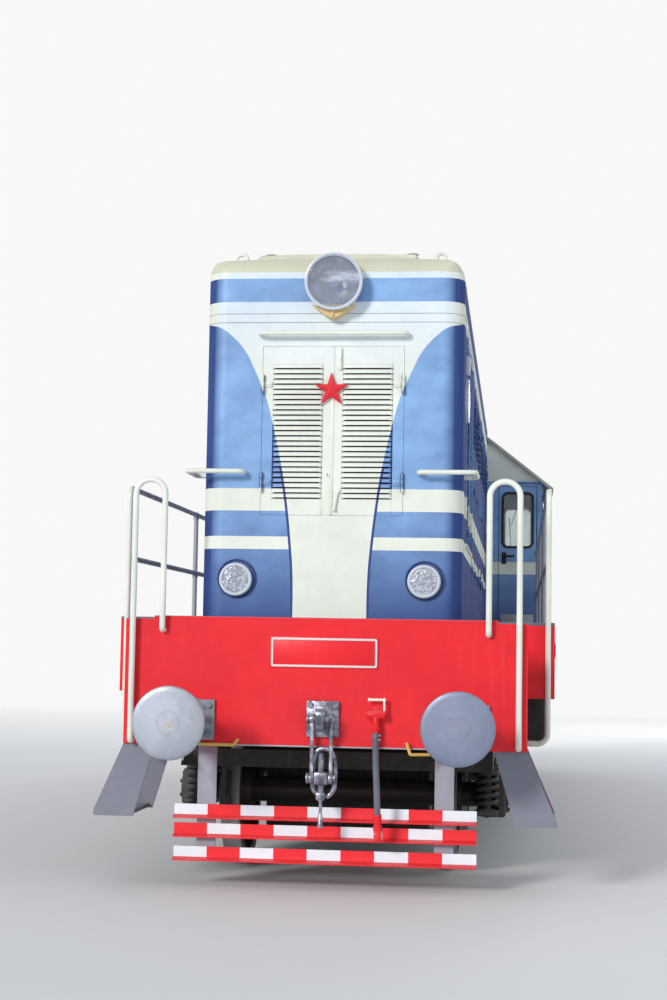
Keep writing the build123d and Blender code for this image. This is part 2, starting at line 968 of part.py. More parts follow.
with BuildPart() as step_treads:
    tread_start = plate_places[0] + step_plate_thickness
    tread_length = plate_places[1] - tread_start
    slanted_height = beam_bottom - step_plate_bottom - step_plate_edge
    slope = (step_bottom_outer - step_top_outer) / slanted_height
    low_outer = step_top_outer + slope * (beam_bottom - tread_heights[0])
    low_inner = low_outer - (step_bottom_outer - step_bottom_inner) + tread_inner_gap
    treads = (
        # inner edge, outer edge, height, start, length
        (low_inner, low_outer, tread_heights[0], tread_start, tread_length),
        (step_top_inner, step_top_outer, tread_heights[1], tread_start, tread_length),
        (
            well_inner,
            step_top_outer,
            tread_heights[2],
            buffer_length + beam_plate,
            well_depth - beam_plate,
        ),
    )
    for inner, outer, height, start, length in treads:
        with Locations((inner, from_front(start), above_rail(height))):
            Box(
                outer - inner,
                length,
                tread_thickness,
                align=(Align.MIN, Align.MIN, Align.MAX),
            )
    mirror(about=Plane.YZ)
    mirror(about=Plane.XZ)
write_piece(step_treads, "step_treads")


# Tube along a path of straight runs and arcs
def sweep_tube(points, radius, diameter):
    with BuildLine() as tube_line:
        FilletPolyline(*points, radius=radius)
    with BuildSketch(Plane(origin=tube_line.line @ 0, z_dir=tube_line.line % 0)) as tube_end:
        Circle(diameter / 2)
    sweep(tube_end.sketch, path=tube_line.line)


# Cream handrails on the buffer beams, behind the steps and round the bonnet ends
tube_radius = tube_diameter / 2
step_rail_y = from_front(well_end) - tube_radius
with BuildPart() as handrails:
    beam_y = from_front(buffer_length)
    rail_y = beam_y - end_rail_standoff
    for side in (-1, 1):
        sweep_tube(
            (
                (side * end_rail_inner, beam_y, above_rail(end_rail_inner_foot)),
                (side * end_rail_inner, rail_y, above_rail(end_rail_inner_foot)),
                (side * end_rail_inner, rail_y, above_rail(end_rail_top)),
                (side * end_rail_outer, rail_y, above_rail(end_rail_top)),
                (side * end_rail_outer, rail_y, above_rail(end_rail_outer_foot)),
                (side * end_rail_outer, beam_y, above_rail(end_rail_outer_foot)),
            ),
            [end_rail_foot_bend, end_rail_bend, end_rail_bend, end_rail_foot_bend],
            tube_diameter,
        )
        # Rail behind the steps, bent in to the step plate below and back to the side rail above
        sweep_tube(
            (
                (side * step_top_outer, step_rail_y, above_rail(step_rail_foot)),
                (side * side_rail_x, step_rail_y, above_rail(step_rail_foot)),
                (side * side_rail_x, step_rail_y, above_rail(side_rail_top)),
                (side * side_rail_x, step_rail_y + step_rail_return, above_rail(side_rail_top)),
            ),
            step_rail_bend,
            tube_diameter,
        )
        corner_y = from_front(bonnet_front)
        corner_z = above_rail(corner_rail_height)
        sweep_tube(
            (
                (side * corner_rail_inner, corner_y, corner_z),
                (side * corner_rail_inner, corner_y - corner_rail_reach, corner_z),
                (
                    side * (bonnet_half_width + corner_rail_reach),
                    corner_y - corner_rail_reach,
                    corner_z,
                ),
                (
                    side * (bonnet_half_width + corner_rail_reach),
                    corner_y + bonnet_corner_radius + corner_rail_back,
                    corner_z,
                ),
                (
                    side * bonnet_half_width,
                    corner_y + bonnet_corner_radius + corner_rail_back,
                    corner_z,
                ),
            ),
            corner_rail_bend,
            bonnet_rail_diameter,
        )
    rail_z = above_rail(bonnet_rail_height)
    sweep_tube(
        (
            (-bonnet_rail_half_width, corner_y, rail_z),
            (-bonnet_rail_half_width, corner_y - bonnet_rail_standoff, rail_z),
            (bonnet_rail_half_width, corner_y - bonnet_rail_standoff, rail_z),
            (bonnet_rail_half_width, corner_y, rail_z),
        ),
        bonnet_rail_bend,
        bonnet_rail_diameter,
    )
    mirror(about=Plane.XZ)
write_piece(handrails, "handrails")

# Railings along the deck: long tubes, and posts saddled to them
rail_starts = (
    # height, distance of the tube's end from the buffers
    (side_rail_top, well_end - tube_radius + step_rail_return),
    (side_rail_middle, well_end),
)
with BuildPart() as side_rails:
    for side in (-1, 1):
        x = side * side_rail_x
        for height, distance in rail_starts:
            for start, end in ((distance, cab_front), (cab_back, length_over_buffers - distance)):
                with BuildSketch(Plane.XZ.offset(-from_front(start))):
                    with Locations((x, above_rail(height))):
                        Circle(tube_radius)
                extrude(amount=start - end)
write_piece(side_rails, "side_rails")

post_distances = [well_end + tube_radius + post_pitch * (i + 1) for i in range(post_count)]
with BuildPart() as rail_posts:
    for side in (-1, 1):
        for distance in post_distances:
            with Locations((side * side_rail_x, from_front(distance), deck_top)):
                Cylinder(
                    tube_radius,
                    above_rail(side_rail_top) - deck_top,
                    align=(Align.CENTER, Align.CENTER, Align.MIN),
                )
    add(side_rails.part, mode=Mode.SUBTRACT)
write_piece(rail_posts, "rail_posts")

# Yellow hand-holds for the shunter under the beams
with BuildPart() as hand_holds:
    hold_y = from_front(buffer_length) + hold_inset
    hold_z = above_rail(beam_bottom - hold_drop)
    for side in (-1, 1):
        sweep_tube(
            (
                (side * hold_outer, hold_y, above_rail(beam_bottom)),
                (side * hold_outer, hold_y, hold_z),
                (side * hold_inner, hold_y - hold_reach, hold_z),
                (side * hold_hook, hold_y - hold_reach, above_rail(beam_bottom + hold_rise)),
            ),
            hold_bend,
            hold_diameter,
        )
    mirror(about=Plane.XZ)
write_piece(hand_holds, "hand_holds")


# Cross-section and shell of a bonnet
def bonnet_section(plane, inset):
    half = bonnet_half_width - inset
    edge = above_rail(bonnet_edge_height) - inset
    top = above_rail(bonnet_top) - inset
    with BuildSketch(plane) as section:
        with BuildLine():
            Line((-half, deck_top), (-half, edge))
            ThreePointArc((-half, edge), (0, top), (half, edge))
            Line((half, edge), (half, deck_top))
            Line((half, deck_top), (-half, deck_top))
        make_face()
        fillet(section.vertices().sort_by(Axis.Y)[-2:], bonnet_roof_radius - inset)
    return section.sketch


def bonnet_plan(inset, length):
    half = bonnet_half_width - inset
    with BuildSketch(Plane.XY.offset(deck_top)) as plan:
        with Locations((0, from_front(bonnet_front) + inset)):
            Rectangle(2 * half, length, align=(Align.CENTER, Align.MIN))
        fillet(plan.vertices().group_by(Axis.Y)[0], bonnet_corner_radius - inset)
    return plan.sketch


def bonnet_side_view(inset, length):
    height = above_rail(bonnet_top) - inset - deck_top
    with BuildSketch(Plane.YZ.offset(-bonnet_half_width)) as view:
        with Locations((from_front(bonnet_front) + inset, deck_top)):
            Rectangle(length, height, align=(Align.MIN, Align.MIN))
        top_corners = view.vertices().group_by(Axis.Y)[-1]
        fillet(top_corners.sort_by(Axis.X)[0], bonnet_end_radius - inset)
    return view.sketch


def bonnet_body(inset, length):
    with BuildPart() as body:
        extrude(bonnet_section(Plane.XZ.offset(-from_front(bonnet_front)), inset), amount=-length)
        extrude(bonnet_plan(inset, length), amount=bonnet_top, mode=Mode.INTERSECT)
        extrude(bonnet_side_view(inset, length), amount=2 * bonnet_half_width, mode=Mode.INTERSECT)
    return body.part


bonnet_length = cab_front - bonnet_front
outer_body = bonnet_body(0, bonnet_length)
inner_body = bonnet_body(bonnet_wall, bonnet_length - bonnet_wall)
nose_end = from_front(bonnet_front + nose_depth)
with BuildPart() as bonnet_nose:
    add(outer_body)
    add(inner_body, mode=Mode.SUBTRACT)
    split(bisect_by=Plane.XZ.offset(-nose_end), keep=Keep.TOP)
    door_height = grille_top - grille_bottom + 2 * panel_gap
    door_z = above_rail((grille_top + grille_bottom) / 2)
    with Locations((0, from_front(bonnet_front), door_z)):
        Box(2 * (grille_half_width + panel_gap), 3 * bonnet_wall, door_height, mode=Mode.SUBTRACT)
write_piece(bonnet_nose, "bonnet_nose")

roof_split = above_rail(roof_split_height)
with BuildPart() as bonnet_roof:
    add(outer_body)
    add(inner_body, mode=Mode.SUBTRACT)
    split(bisect_by=Plane.XZ.offset(-nose_end), keep=Keep.BOTTOM)
    split(bisect_by=Plane.XY.offset(roof_split), keep=Keep.TOP)
write_piece(bonnet_roof, "bonnet_roof")

pair_width = 2 * side_door_width + meeting_gap
with BuildPart() as bonnet_sides:
    add(outer_body)
    add(inner_body, mode=Mode.SUBTRACT)
    split(bisect_by=Plane.XZ.offset(-nose_end), keep=Keep.BOTTOM)
    split(bisect_by=Plane.XY.offset(roof_split), keep=Keep.BOTTOM)
    door_y = from_front(side_door_start) - panel_gap
    with Locations((0, door_y, above_rail(side_door_bottom) - panel_gap)):
        Box(
            3 * bonnet_half_width,
            pair_width + 2 * panel_gap,
            side_door_top - side_door_bottom + 2 * panel_gap,
            align=(Align.CENTER, Align.MIN, Align.MIN),
            mode=Mode.SUBTRACT,
        )
    with Locations((0, from_front(shutter_start), above_rail(shutter_bottom))):
        Box(
            3 * bonnet_half_width,
            shutter_end - shutter_start,
            shutter_top - shutter_bottom,
            align=(Align.CENTER, Align.MIN, Align.MIN),
            mode=Mode.SUBTRACT,
        )
write_piece(bonnet_sides, "bonnet_sides")

# Radiator shutters in both sides of the bonnet
with BuildPart() as shutters:
    shutter_length = shutter_end - shutter_start
    shutter_height = shutter_top - shutter_bottom
    shutter_y = from_front((shutter_start + shutter_end) / 2)
    shutter_z = above_rail((shutter_top + shutter_bottom) / 2)
    shutter_x = bonnet_half_width - bonnet_wall / 2
    with Locations((shutter_x, shutter_y, shutter_z)):
        Box(bonnet_wall, shutter_length, shutter_height)
        Box(
            2 * bonnet_wall,
            shutter_length - 2 * shutter_frame,
            shutter_height - 2 * shutter_frame,
            mode=Mode.SUBTRACT,
        )
    blade_pitch = (shutter_height - 2 * shutter_frame) / shutter_blades
    lowest_blade = above_rail(shutter_bottom) + shutter_frame + blade_pitch / 2
    blade_z = [lowest_blade + blade_pitch * i for i in range(shutter_blades)]
    with Locations(*[(shutter_x, shutter_y, z) for z in blade_z]):
        Box(
            shutter_blade_thickness,
            shutter_length - 2 * shutter_frame + bonnet_wall / 2,
            blade_pitch * shutter_blade_share,
            rotation=(0, -louvre_tilt, 0),
        )
    mirror(about=Plane.YZ)
write_piece(shutters, "radiator_shutters")

# Closed bonnet behind the cab
rear_body = bonnet_body(0, rear_bonnet_length).rotate(Axis.Z, 180)
with BuildPart() as rear_bonnet:
    add(rear_body)
write_piece(rear_bonnet, "rear_bonnet")


# Front grille doors with their louvre banks, latch bars and the star
hinge_y = from_front(bonnet_front) - grille_hinge_proud


def grille_leaf(side):
    leaf_width = grille_half_width - meeting_gap / 2
    leaf_height = grille_top - grille_bottom
    leaf_x = side * (grille_half_width + meeting_gap / 2) / 2
    face_y = from_front(bonnet_front)
    with BuildPart() as leaf:
        with Locations((leaf_x, face_y, above_rail(grille_bottom))):
            Box(
                leaf_width,
                door_thickness,
                leaf_height,
                align=(Align.CENTER, Align.MIN, Align.MIN),
            )
        bank_width = louvre_outer - louvre_inner
        bank_x = side * (louvre_outer + louvre_inner) / 2
        bank_height = louvre_count * louvre_pitch
        with Locations((bank_x, face_y, above_rail(grille_bottom + louvre_rise) - louvre_pitch / 2)):
            Box(
                bank_width,
                3 * door_thickness,
                bank_height,
                align=(Align.CENTER, Align.CENTER, Align.MIN),
                mode=Mode.SUBTRACT,
            )
        blade_places = [
            (bank_x, face_y + louvre_setback, above_rail(grille_bottom + louvre_rise) + louvre_pitch * i)
            for i in range(louvre_count)
        ]
        with Locations(*blade_places):
            Box(
                bank_width + 2 * louvre_overlap,
                louvre_blade_thickness,
                louvre_blade_height,
                rotation=(-louvre_tilt, 0, 0),
            )
        strap_x = side * (grille_half_width - hinge_strap / 2)
        for z in (grille_bottom + grille_hinge_rise, grille_top - grille_hinge_drop):
            with Locations((side * grille_half_width, hinge_y, above_rail(z))):
                Cylinder(hinge_diameter / 2, hinge_length)
            with Locations((strap_x, face_y, above_rail(z))):
                Box(hinge_strap, 2 * grille_hinge_proud, hinge_strap_height)
    return leaf


def star_outline(radius):
    inner = radius * math.cos(math.radians(72)) / math.cos(math.radians(36))
    points = []
    for i in range(10):
        reach = radius if i % 2 == 0 else inner
        angle = math.radians(90 + 36 * i)
        points.append((reach * math.cos(angle), reach * math.sin(angle)))
    with BuildSketch(Plane.XY) as outline:
        with BuildLine():
            Polyline(*points, close=True)
        make_face()
    return outline.sketch


write_piece(grille_leaf(-1), "grille_door_left")

plain_leaf = grille_leaf(1)
with BuildPart() as right_leaf:
    add(plain_leaf.part)
    latch_align = (Align.CENTER, Align.MAX, Align.CENTER)
    upper_latch_z = above_rail(grille_top - upper_latch_drop)
    with Locations((upper_latch_offset, from_front(bonnet_front), upper_latch_z)):
        Box(upper_latch_width, latch_reach, upper_latch_length, align=latch_align)
    lower_latch_z = above_rail(grille_bottom + lower_latch_rise)
    with Locations((lower_latch_offset, from_front(bonnet_front), lower_latch_z)):
        Box(
            lower_latch_width,
            latch_reach,
            lower_latch_length,
            align=latch_align,
            rotation=(0, lower_latch_lean, 0),
        )
    star_z = above_rail(grille_top - star_drop)
    star_plane = Plane(
        origin=(star_centre, from_front(bonnet_front) - star_standoff, star_z),
        x_dir=(1, 0, 0),
        z_dir=(0, -1, 0),
    )
    with Locations((star_stud_offset, from_front(bonnet_front), star_z)):
        with Locations(Plane(origin=(0, 0, 0), z_dir=(0, -1, 0))):
            Cylinder(
                star_stud_diameter / 2,
                star_standoff + star_thickness / 2,
                align=(Align.CENTER, Align.CENTER, Align.MIN),
            )
    with BuildSketch(star_plane):
        add(star_outline(star_radius))
    extrude(amount=star_thickness)
    with BuildSketch(star_plane.offset(star_thickness)):
        add(star_outline(star_radius))
    extrude(amount=star_apex - star_thickness, taper=star_slant)
write_piece(right_leaf, "grille_door_right")


# Side doors of the bonnet, two leaves to an opening
def side_leaf(side, start, forward):
    low = above_rail(side_door_bottom)
    high = above_rail(side_door_top)
    leaf_start = from_front(start) if forward else from_front(start) + side_door_width + meeting_gap
    hinge_place = leaf_start if forward else leaf_start + side_door_width
    face_x = side * bonnet_half_width
    middle_y = leaf_start + side_door_width / 2
    inwards = Align.MAX if side > 0 else Align.MIN
    vent_width = side_door_width - 2 * side_vent_margin
    vent_top = high - side_vent_drop
    with BuildPart() as leaf:
        with Locations((face_x, middle_y, low)):
            Box(door_thickness, side_door_width, high - low, align=(inwards, Align.CENTER, Align.MIN))
        with Locations((face_x, middle_y, vent_top)):
            Box(
                4 * door_thickness,
                vent_width,
                side_vent_height,
                align=(Align.CENTER, Align.CENTER, Align.MAX),
                mode=Mode.SUBTRACT,
            )
        pitch = side_vent_height / side_door_louvres
        blades = [
            (face_x - side * panel_gap, middle_y, vent_top - pitch * (i + 0.5))
            for i in range(side_door_louvres)
        ]
        with Locations(*blades):
            Box(
                side_blade_thickness,
                vent_width + 2 * side_blade_thickness,
                pitch * side_blade_share,
                rotation=(0, -side * louvre_tilt, 0),
            )
        for z in (low + side_hinge_distance, high - side_hinge_distance):
            with Locations((face_x + side * grille_hinge_proud, hinge_place, z)):
                Cylinder(hinge_diameter / 2, hinge_length)
            step = hinge_strap / 2 if forward else -hinge_strap / 2
            with Locations((face_x, hinge_place + step, z)):
                Box(2 * grille_hinge_proud, hinge_strap, hinge_strap_height)
        grip_y = hinge_place + (side_door_width - side_grip_inset) * (1 if forward else -1)
        with Locations((face_x, grip_y, (low + high) / 2)):
            Box(*side_grip_size)
    return leaf


side_names = {1: "right", -1: "left"}
for side, side_name in side_names.items():
    for leaf_place, forward in (("fore", True), ("aft", False)):
        leaf = side_leaf(side, side_door_start, forward)
        write_piece(leaf, f"bonnet_door_{side_name}_{leaf_place}")

# Roof hatch over the fan, exhaust box and lifting hooks
with BuildPart() as hatches:
    hatch_plane = Plane.XZ.offset(-from_front(hatch_start))
    extrude(bonnet_section(hatch_plane, -hatch_rise), amount=hatch_start - hatch_end)
    with BuildSketch(Plane.XY.offset(above_rail(bonnet_edge_height))):
        with Locations((0, from_front((hatch_start + hatch_end) / 2))):
            RectangleRounded(2 * hatch_half_width, hatch_end - hatch_start, hatch_corner)
    extrude(amount=2 * hatch_rise, taper=hatch_slope, mode=Mode.INTERSECT)
    add(outer_body, mode=Mode.SUBTRACT)
write_piece(hatches, "roof_hatch")

with BuildPart() as exhaust:
    with Locations((0, from_front(exhaust_distance), above_rail(bonnet_top) - exhaust_sink)):
        Box(exhaust_width, exhaust_length, exhaust_rise, align=(Align.CENTER, Align.CENTER, Align.MIN))
        Box(
            exhaust_width - 2 * exhaust_wall,
            exhaust_length - 2 * exhaust_wall,
            3 * exhaust_rise,
            mode=Mode.SUBTRACT,
            align=(Align.CENTER, Align.CENTER, Align.MIN),
        )
    add(outer_body, mode=Mode.SUBTRACT)
write_piece(exhaust, "exhaust_rim")

with BuildPart() as lifting_hooks:
    for side in (-1, 1):
        x = side * hook_offset
        y = from_front(hook_distance)
        foot = above_rail(bonnet_edge_height) + hook_foot_rise
        top = above_rail(hook_top) - hook_rod_diameter / 2
        sweep_tube(
            (
                (x, y, foot),
                (x, y, top),
                (x + side * hook_curl, y, top),
                (x + side * hook_curl, y, top - hook_tip_drop),
            ),
            hook_bend,
            hook_rod_diameter,
        )
    add(outer_body, mode=Mode.SUBTRACT)
write_piece(lifting_hooks, "lifting_hooks")

# Lamps at both ends, and their lenses
lamp_table = (
    # offset, height, body diameter, lens diameter, reach
    (0, headlight_height, headlight_diameter, headlight_lens_diameter, headlight_reach),
    (-marker_offset, marker_height, marker_diameter, marker_lens_diameter, marker_reach),
    (marker_offset, marker_height, marker_diameter, marker_lens_diameter, marker_reach),
)
with BuildPart() as lamps:
    for end in end_planes.values():
        face = end.offset(-bonnet_front)
        for offset, height, diameter, lens, reach in lamp_table:
            with BuildSketch(face.offset(-bonnet_end_radius)):
                with Locations((offset, above_rail(height))):
                    Circle(diameter / 2)
            extrude(amount=bonnet_end_radius + reach)
            with BuildSketch(face.offset(reach)):
                with Locations((offset, above_rail(height))):
                    Circle(lens / 2)
            extrude(amount=-2 * lens_thickness, mode=Mode.SUBTRACT)
    add(outer_body, mode=Mode.SUBTRACT)
    add(rear_body, mode=Mode.SUBTRACT)
write_piece(lamps, "lamps")

with BuildPart() as lenses:
    for end in end_planes.values():
        face = end.offset(-bonnet_front)
        for offset, height, diameter, lens, reach in lamp_table:
            with BuildSketch(face.offset(reach - 2 * lens_thickness)):
                with Locations((offset, above_rail(height))):
                    Circle(lens / 2)
            extrude(amount=lens_thickness)
write_piece(lenses, "lamp_lenses")


# Cab roof line seen from the front, lowered by an inset, out to a half width
cab_roof_slope = (cab_shoulder_height - cab_eave_height) / (cab_half_width - cab_roof_shoulder)


def roof_line(inset, half_width, low):
    shoulder = above_rail(cab_shoulder_height) - inset
    top = above_rail(cab_roof_top) - inset
    eave = shoulder - cab_roof_slope * (half_width - cab_roof_shoulder)
    with BuildSketch(Plane.XY) as section:
        with BuildLine():
            Line((-half_width, low), (-half_width, eave))
            Line((-half_width, eave), (-cab_roof_shoulder, shoulder))
            ThreePointArc((-cab_roof_shoulder, shoulder), (0, top), (cab_roof_shoulder, shoulder))
            Line((cab_roof_shoulder, shoulder), (half_width, eave))
            Line((half_width, eave), (half_width, low))
            Line((half_width, low), (-half_width, low))
        make_face()
    return section.sketch


def window_outline(x, height, width):
    middle = above_rail(cab_window_bottom) + height / 2
    with BuildSketch(Plane.XY) as outline:
        with Locations((x, middle)):
            RectangleRounded(width, height, cab_window_radius)
    return outline.sketch


# Cab end walls, each with a door opening on one side and a window on the other
cab_middle = from_front(cab_front + cab_length / 2)
cab_turn = Axis((0, cab_middle, 0), (0, 0, 1))
door_low = deck_top + door_sill
window_height = cab_window_top - cab_window_bottom
window_width = cab_window_outer - cab_window_inner
window_x = (cab_window_inner + cab_window_outer) / 2
front_face = Plane.XZ.offset(-from_front(cab_front))
with BuildPart() as front_wall:
    with BuildSketch(front_face):
        add(roof_line(cab_roof_thickness, cab_half_width, deck_top))
        add(window_outline(-window_x, window_height, window_width), mode=Mode.SUBTRACT)
        with Locations((cab_door_inner - panel_gap, door_low - panel_gap)):
            Rectangle(
                cab_door_outer - cab_door_inner + 2 * panel_gap,
                above_rail(cab_door_top) - door_low + 2 * panel_gap,
                align=(Align.MIN, Align.MIN),
                mode=Mode.SUBTRACT,
            )
    extrude(amount=-cab_wall)
back_wall = front_wall.part.rotate(cab_turn, 180)
with BuildPart() as end_walls:
    add(front_wall.part)
    add(back_wall)
write_piece(end_walls, "cab_end_walls")

# Cab side walls with two windows each
side_length = cab_length - 2 * cab_wall
with BuildPart() as side_walls:
    with BuildSketch(Plane.YZ.offset(cab_half_width - cab_wall)):
        with Locations((cab_middle, deck_top)):
            Rectangle(side_length, cab_roof_top - beam_top, align=(Align.CENTER, Align.MIN))
        pane_offset = (side_window_length + side_window_gap) / 2
        for y in (cab_middle - pane_offset, cab_middle + pane_offset):
            add(window_outline(y, window_height, side_window_length), mode=Mode.SUBTRACT)
    extrude(amount=cab_wall)
    mirror(about=Plane.YZ)
    with BuildSketch(front_face):
        add(roof_line(cab_roof_thickness, cab_half_width, deck_top))
    extrude(amount=-cab_length, mode=Mode.INTERSECT)
write_piece(side_walls, "cab_side_walls")

# Cab roof with overhanging eaves
with BuildPart() as cab_roof:
    eave_run = (cab_roof_half_width - cab_half_width) * cab_roof_slope
    roof_low = above_rail(cab_eave_height) - eave_run - 3 * cab_roof_thickness
    with BuildSketch(front_face.offset(cab_roof_overhang)):
        add(roof_line(0, cab_roof_half_width, roof_low))
        add(roof_line(cab_roof_thickness, cab_roof_half_width, roof_low), mode=Mode.SUBTRACT)
    extrude(amount=-cab_length - 2 * cab_roof_overhang)
    add(outer_body, mode=Mode.SUBTRACT)
    add(rear_body, mode=Mode.SUBTRACT)
write_piece(cab_roof, "cab_roof")

# Fixed panes in the end and side walls
with BuildPart() as cab_glass:
    glass_inset = (cab_wall - glass_thickness) / 2
    with BuildSketch(front_face.offset(-glass_inset)):
        add(window_outline(-window_x, window_height, window_width))
    extrude(amount=-glass_thickness)
    with BuildSketch(front_face.offset(-cab_length + glass_inset)):
        add(window_outline(window_x, window_height, window_width))
    extrude(amount=glass_thickness)
    for side in (-1, 1):
        with BuildSketch(Plane.YZ.offset(side * (cab_half_width - glass_inset))):
            for y in (cab_middle - pane_offset, cab_middle + pane_offset):
                add(window_outline(y, window_height, side_window_length))
        extrude(amount=-side * glass_thickness)
write_piece(cab_glass, "cab_glass")

# Cab doors that open inwards, with their window and lever handle
with BuildPart() as front_door:
    with BuildSketch(front_face):
        with Locations((cab_door_inner, door_low)):
            Rectangle(
                cab_door_outer - cab_door_inner,
                above_rail(cab_door_top) - door_low,
                align=(Align.MIN, Align.MIN),
            )
        add(window_outline(window_x, window_height, window_width), mode=Mode.SUBTRACT)
    extrude(amount=-cab_door_thickness)
    door_hinge_y = from_front(cab_front) + cab_door_thickness + cab_door_hinge_proud
    strap_place = cab_door_outer - cab_hinge_strap / 2
    hinge_heights = (
        door_low + cab_hinge_distance,
        above_rail(cab_door_top) - cab_hinge_distance,
    )
    for z in hinge_heights:
        with Locations((cab_door_outer, door_hinge_y, z)):
            Cylinder(cab_hinge_diameter / 2, cab_hinge_length)
        with Locations((strap_place, door_hinge_y - cab_door_hinge_proud, z)):
            Box(cab_hinge_strap, 2 * cab_door_hinge_proud, cab_hinge_strap_height)
    handle_z = above_rail(cab_handle_height)
    handle_end = from_front(cab_front) - cab_handle_reach
    with Locations((cab_handle_x, from_front(cab_front), handle_z)):
        Box(
            cab_handle_size,
            cab_handle_reach,
            cab_handle_size,
            align=(Align.CENTER, Align.MAX, Align.CENTER),
        )
    with Locations((cab_handle_x, handle_end, handle_z)):
        Box(
            cab_lever_length,
            cab_lever_thickness,
            cab_lever_height,
            align=(Align.MIN, Align.MIN, Align.CENTER),
        )
write_piece(front_door, "cab_door_front")

rear_door_part = front_door.part.rotate(cab_turn, 180)
with BuildPart() as rear_door:
    add(rear_door_part)
write_piece(rear_door, "cab_door_rear")

# Desk against the front wall and two seats
with BuildPart() as desk:
    with Locations((0, from_front(cab_front) + cab_wall, deck_top)):
        Box(
            2 * desk_half_width,
            desk_depth,
            desk_height,
            align=(Align.CENTER, Align.MIN, Align.MIN),
        )
write_piece(desk, "control_desk")

with BuildPart() as seats:
    for side in (-1, 1):
        x = side * seat_offset
        seat_y = cab_middle + seat_setback
        with Locations((x, seat_y, deck_top)):
            Cylinder(
                seat_column_diameter / 2,
                seat_height,
                align=(Align.CENTER, Align.CENTER, Align.MIN),
            )
        with Locations((x, seat_y, deck_top + seat_height)):
            Box(seat_size, seat_size, seat_pad, align=(Align.CENTER, Align.CENTER, Align.MIN))
        with Locations((x, seat_y + seat_size / 2, deck_top + seat_height)):
            Box(
                seat_size,
                seat_back_thickness,
                seat_back_height,
                align=(Align.CENTER, Align.MAX, Align.MIN),
            )
write_piece(seats, "driver_seats")

# Engine block on the underframe, and the tanks and boxes below it
with BuildPart() as engine:
    with Locations((0, from_front(engine_start), deck_top)):
        Box(
            2 * engine_half_width,
            cab_front - engine_to_cab - engine_start,
            engine_height,
            align=(Align.CENTER, Align.MIN, Align.MIN),
        )
write_piece(engine, "engine_block")

with BuildPart() as tank:
    with BuildSketch(Plane.XZ.offset(tank_length / 2)):
        with Locations((0, above_rail((main_sill_bottom + tank_bottom) / 2))):
            RectangleRounded(2 * tank_half_width, main_sill_bottom - tank_bottom, tank_corner)
    extrude(amount=-tank_length)
write_piece(tank, "fuel_tank")

with BuildPart() as reservoirs:
    for y in (-reservoir_y, reservoir_y):
        with Locations(Plane(origin=(0, y, above_rail(reservoir_height)), z_dir=(1, 0, 0))):
            Cylinder(reservoir_diameter / 2, reservoir_length)
    fillet(reservoirs.edges().filter_by(GeomType.CIRCLE), reservoir_rounding)
    for y in (-reservoir_y, reservoir_y):
        for x in (-main_sill_offset, main_sill_offset):
            with Locations((x, y, above_rail(main_sill_bottom))):
                Box(
                    reservoir_strap,
                    reservoir_diameter / 2,
                    main_sill_bottom - reservoir_height,
                    align=(Align.CENTER, Align.CENTER, Align.MAX),
                )
write_piece(reservoirs, "air_reservoirs")

with BuildPart() as batteries:
    for side in (-1, 1):
        with Locations((side * frame_half_width, 0, above_rail(side_sill_bottom))):
            Box(
                battery_depth,
                battery_length,
                battery_height,
                align=(Align.MAX if side > 0 else Align.MIN, Align.CENTER, Align.MAX),
            )
write_piece(batteries, "battery_boxes")


# Brake pipe cocks on the beams, and the hose that hangs at the front
def build_cock():
    beam_y = from_front(buffer_length)
    with BuildPart() as cock:
        with Locations((cock_offset, beam_y - cock_reach / 2, above_rail(cock_height))):
            Box(cock_body, cock_reach, cock_body)
        with Locations((cock_offset, beam_y - cock_reach, above_rail(cock_height))):
            with Locations(Plane(origin=(0, 0, 0), z_dir=(1, 0, 0))):
                Cylinder(cock_barrel_diameter / 2, cock_barrel_length)
        with Locations((cock_offset, beam_y - cock_reach, above_rail(hose_top))):
            Cylinder(
                cock_spout_diameter / 2,
                cock_height - hose_top,
                align=(Align.CENTER, Align.CENTER, Align.MIN),
            )
        lever_x = cock_offset + cock_lever_offset
        with Locations((lever_x, beam_y - cock_reach, above_rail(cock_height))):
            Box(
                cock_lever_thickness,
                cock_lever_width,
                cock_lever_height,
                align=(Align.CENTER, Align.CENTER, Align.MIN),
            )
        lever_top = above_rail(cock_height + cock_lever_height - cock_lever_thickness)
        with Locations((lever_x + cock_lever_thickness / 2, beam_y - cock_reach, lever_top)):
            Box(
                cock_lever_length,
                cock_lever_thickness,
                cock_lever_thickness,
                align=(Align.MAX, Align.CENTER, Align.CENTER),
            )
    return cock.part


front_cock = build_cock()
with BuildPart() as cocks:
    add(front_cock)
    add(front_cock.rotate(Axis.Z, 180))
write_piece(cocks, "brake_cocks")

hose_y = from_front(buffer_length) - cock_reach
hose_points = [
    (cock_offset, hose_y, above_rail(hose_top)),
    (cock_offset, hose_y, above_rail(hose_drop)),
]
for across, back, height in hose_bends:
    hose_points.append((cock_offset + across, hose_y + back, above_rail(height)))


def corner_radii(points):
    radii = []
    for before, corner, after in zip(points, points[1:], points[2:]):
        run_in = Vector(corner) - Vector(before)
        run_out = Vector(after) - Vector(corner)
        half_turn = math.radians(run_in.get_angle(run_out) / 2)
        shorter = min(run_in.length, run_out.length)
        radii.append(0.45 * shorter / math.tan(half_turn))
    return radii


hose_radii = corner_radii(hose_points)
print("hose bend radii", [round(r) for r in hose_radii])
with BuildPart() as hose:
    with BuildLine() as hose_line:
        FilletPolyline(*hose_points, radius=hose_radii)
    with BuildSketch(Plane(origin=hose_line.line @ 0, z_dir=hose_line.line % 0)):
        Circle(hose_diameter / 2)
    sweep(path=hose_line.line)
hose_length = hose_line.wires()[0].length
hose_section = math.pi * hose_diameter ** 2 / 4
print("hose length", round(hose_length))
print("hose volume over section times length", round(hose.part.volume / hose_section / hose_length, 4))
write_piece(hose, "brake_hose")

